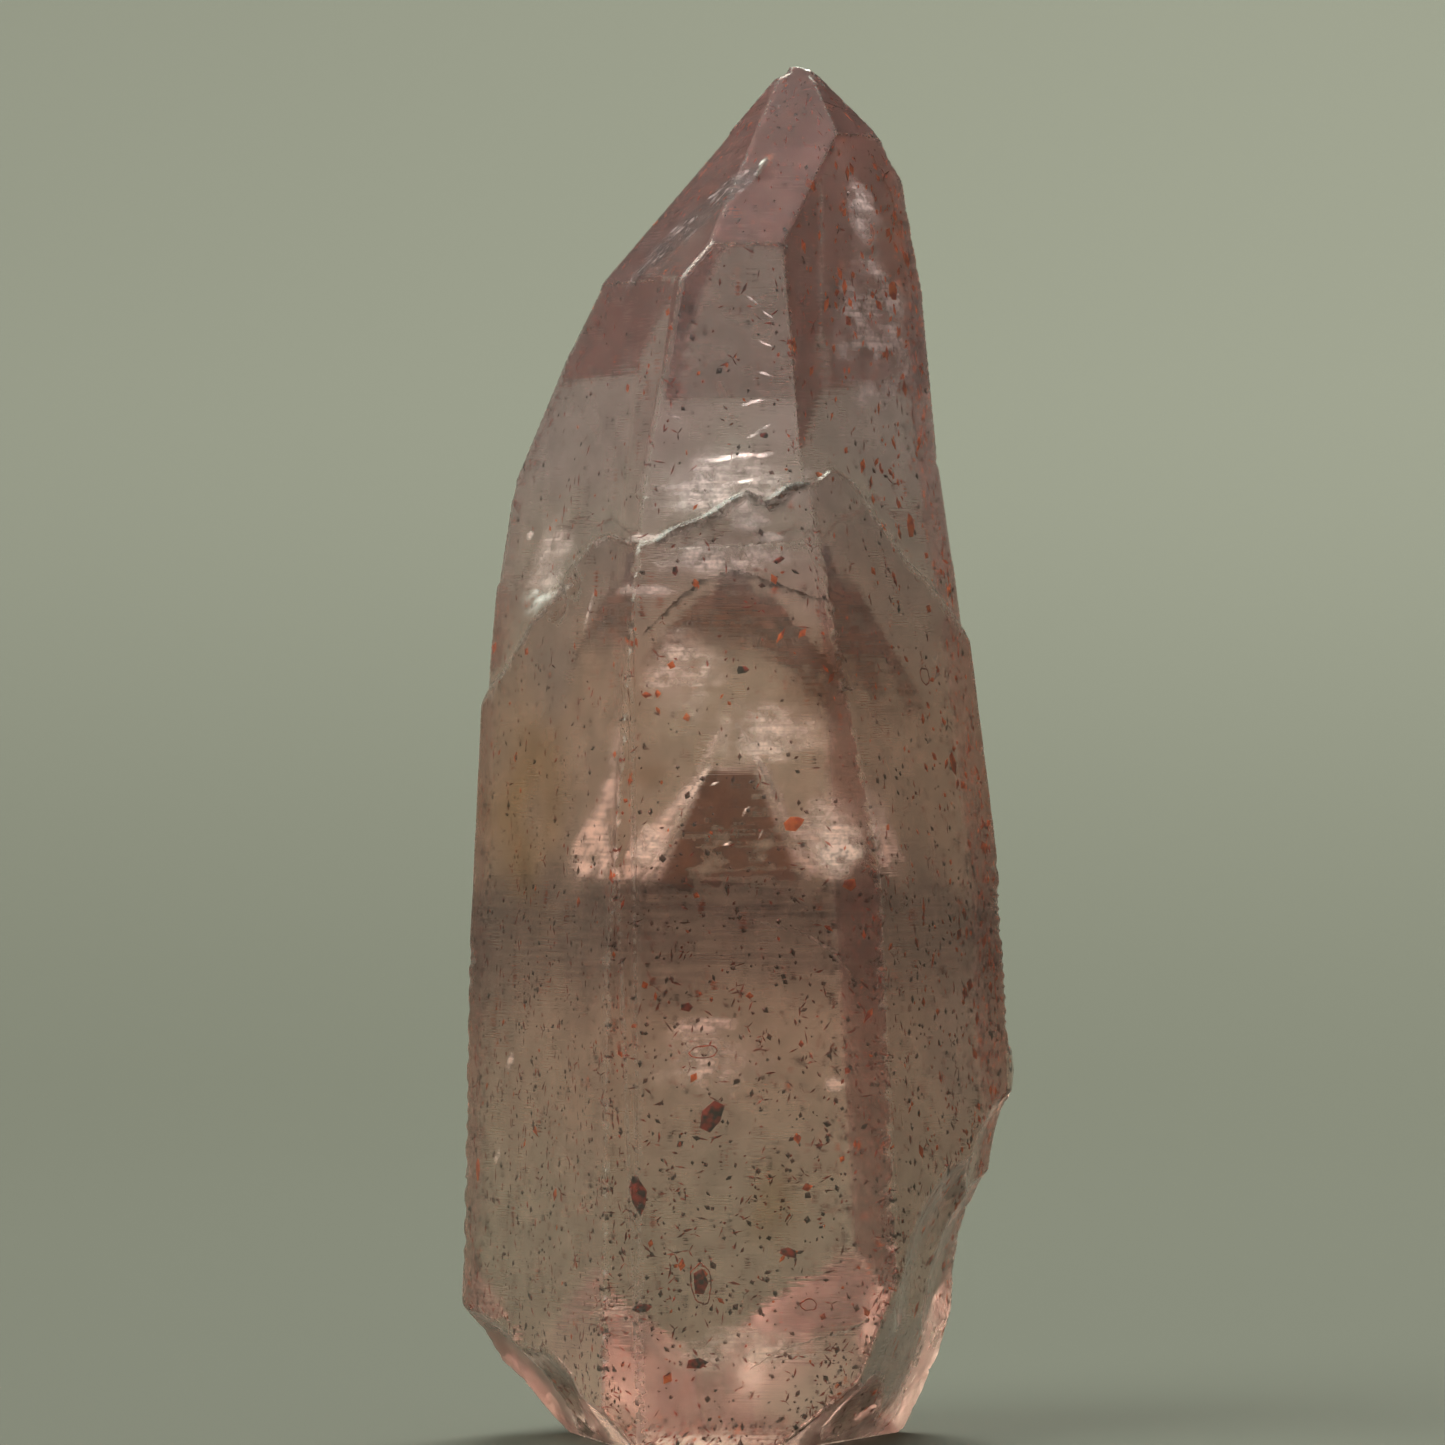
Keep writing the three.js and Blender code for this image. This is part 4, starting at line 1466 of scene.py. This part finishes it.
def build_sweep(settings):
    """A floor that curves up into a wall all round, as one lathe mesh."""
    around = SWEEP_AROUND
    gap = FLOOR_GAP * MM
    profile = sweep_profile(settings)
    vertices = [(0, 0, -gap)]
    for radius, height in profile[1:]:
        for step in range(around):
            turn = 2 * math.pi * step / around
            vertices.append((radius * math.cos(turn), radius * math.sin(turn), height - gap))
    faces = [(0, 1 + step, 1 + (step + 1) % around) for step in range(around)]
    for level in range(len(profile) - 2):
        start = 1 + level * around
        for step in range(around):
            after = (step + 1) % around
            faces.append((start + step, start + around + step, start + around + after, start + after))
    sweep = new_piece("studio_sweep", vertices, faces)
    sweep.data.shade_smooth()
    return sweep


def sweep_material(settings):
    """Matt paper with painted light and shade: a little lighter up and to the right."""
    material, tree, shader = new_material("studio_paper")
    axes = put(tree, "SeparateXYZ", {0: put(tree, "TexCoord").outputs["Object"]}).outputs
    # Painted shade low down and painted light up high
    rise = ease(tree, axes["Z"], *PAINTED_SHADE_RISE)
    colour = mix(tree, rise, rgba(settings.low_paper_painted_shade), rgba(settings.high_paper_painted_light))
    # Painted light: lighter towards the right
    lift = ease(tree, axes["X"], *PAINTED_LIGHT_SIDES, 0.90, 1.10)
    fill(tree, shader, {
        "Base Color": brightened(tree, colour, lift),
        "Roughness": 0.9,
        "Specular IOR Level": 0.2,
    })
    return material


def soft_light(name, place, size, watts, colour):
    """A square soft light that points at the crystal."""
    light = bpy.data.lights.new(name, "AREA")
    light.shape = "SQUARE"
    light.size = size
    light.energy = watts
    light.color = colour
    holder = bpy.data.objects.new(name, light)
    holder.location = place
    holder.rotation_euler = (Vector(LIT_SPOT) - Vector(place)).to_track_quat("-Z", "Y").to_euler()
    bpy.context.scene.collection.objects.link(holder)


def studio_air(settings):
    """The even light from all sides."""
    world = bpy.data.worlds.new("studio_air")
    world.use_nodes = True
    air = world.node_tree.nodes["Background"]
    air.inputs["Color"].default_value = rgba(settings.sky_colour)
    air.inputs["Strength"].default_value = settings.sky
    return world


def studio_camera():
    """The camera at the photograph's place."""
    camera = bpy.data.cameras.new("studio_camera")
    camera.sensor_width = SENSOR
    camera.lens = SENSOR * VIEW_DISTANCE / VIEW_WIDTH
    camera.clip_start = 0.01
    holder = bpy.data.objects.new("studio_camera", camera)
    holder.location = mm(*VIEW_PLACE)
    holder.rotation_euler = (math.radians(90), 0, 0)
    bpy.context.scene.collection.objects.link(holder)
    return holder


class AMETHYST_OT_stage(bpy.types.Operator):
    """Builds the pale sweep, the soft lights and the camera"""

    bl_idname = "amethyst.stage"
    bl_label = "Stage"

    def execute(self, context):
        settings = context.scene.amethyst_stage
        sweep = build_sweep(settings)
        sweep.data.materials.append(sweep_material(settings))
        context.scene.world = studio_air(settings)
        soft_light("key_light", KEY_PLACE, settings.key_size, settings.key, settings.light_colour)
        soft_light("back_light", BACK_PLACE, settings.back_size, settings.back, settings.light_colour)
        context.scene.camera = studio_camera()
        context.scene.view_settings.view_transform = "Standard"
        cycles = context.scene.cycles
        cycles.adaptive_threshold = 0.12
        cycles.adaptive_min_samples = 16
        cycles.transparent_max_bounces = 16
        cycles.max_bounces = 8
        cycles.transmission_bounces = 8
        cycles.diffuse_bounces = 2
        return {"FINISHED"}


class AMETHYST_PT_panel(bpy.types.Panel):
    """The steps of the crystal in the sidebar"""

    bl_idname = "AMETHYST_PT_panel"
    bl_label = "Phantom Amethyst"
    bl_space_type = "VIEW_3D"
    bl_region_type = "UI"
    bl_category = "Amethyst"

    def draw(self, context):
        for operator in OPERATORS:
            self.layout.operator(operator.bl_idname)
        for name, kind in SETTINGS.items():
            box = self.layout.box()
            for key in kind.__annotations__:
                box.prop(getattr(context.scene, name), key)


SETTINGS = {
    "amethyst_stage": StageSettings, "amethyst_crystal": CrystalSettings,
    "amethyst_ghosts": GhostSettings, "amethyst_plates": PlateSettings,
    "amethyst_flecks": FleckSettings,
}
OPERATORS = (
    AMETHYST_OT_stage, AMETHYST_OT_crystal, AMETHYST_OT_ghosts, AMETHYST_OT_veils,
    AMETHYST_OT_plates, AMETHYST_OT_flecks,
)
CLASSES = (*SETTINGS.values(), *OPERATORS, AMETHYST_PT_panel)


def register():
    for kind in CLASSES:
        bpy.utils.register_class(kind)
    for name, kind in SETTINGS.items():
        setattr(bpy.types.Scene, name, bpy.props.PointerProperty(type=kind))


def unregister():
    for name in SETTINGS:
        delattr(bpy.types.Scene, name)
    for kind in reversed(CLASSES):
        bpy.utils.unregister_class(kind)


def main():
    register()
    bpy.ops.amethyst.stage()
    bpy.ops.amethyst.crystal()
    bpy.ops.amethyst.ghosts()
    bpy.ops.amethyst.veils()
    bpy.ops.amethyst.plates()
    bpy.ops.amethyst.flecks()


if __name__ == "__main__":
    main()
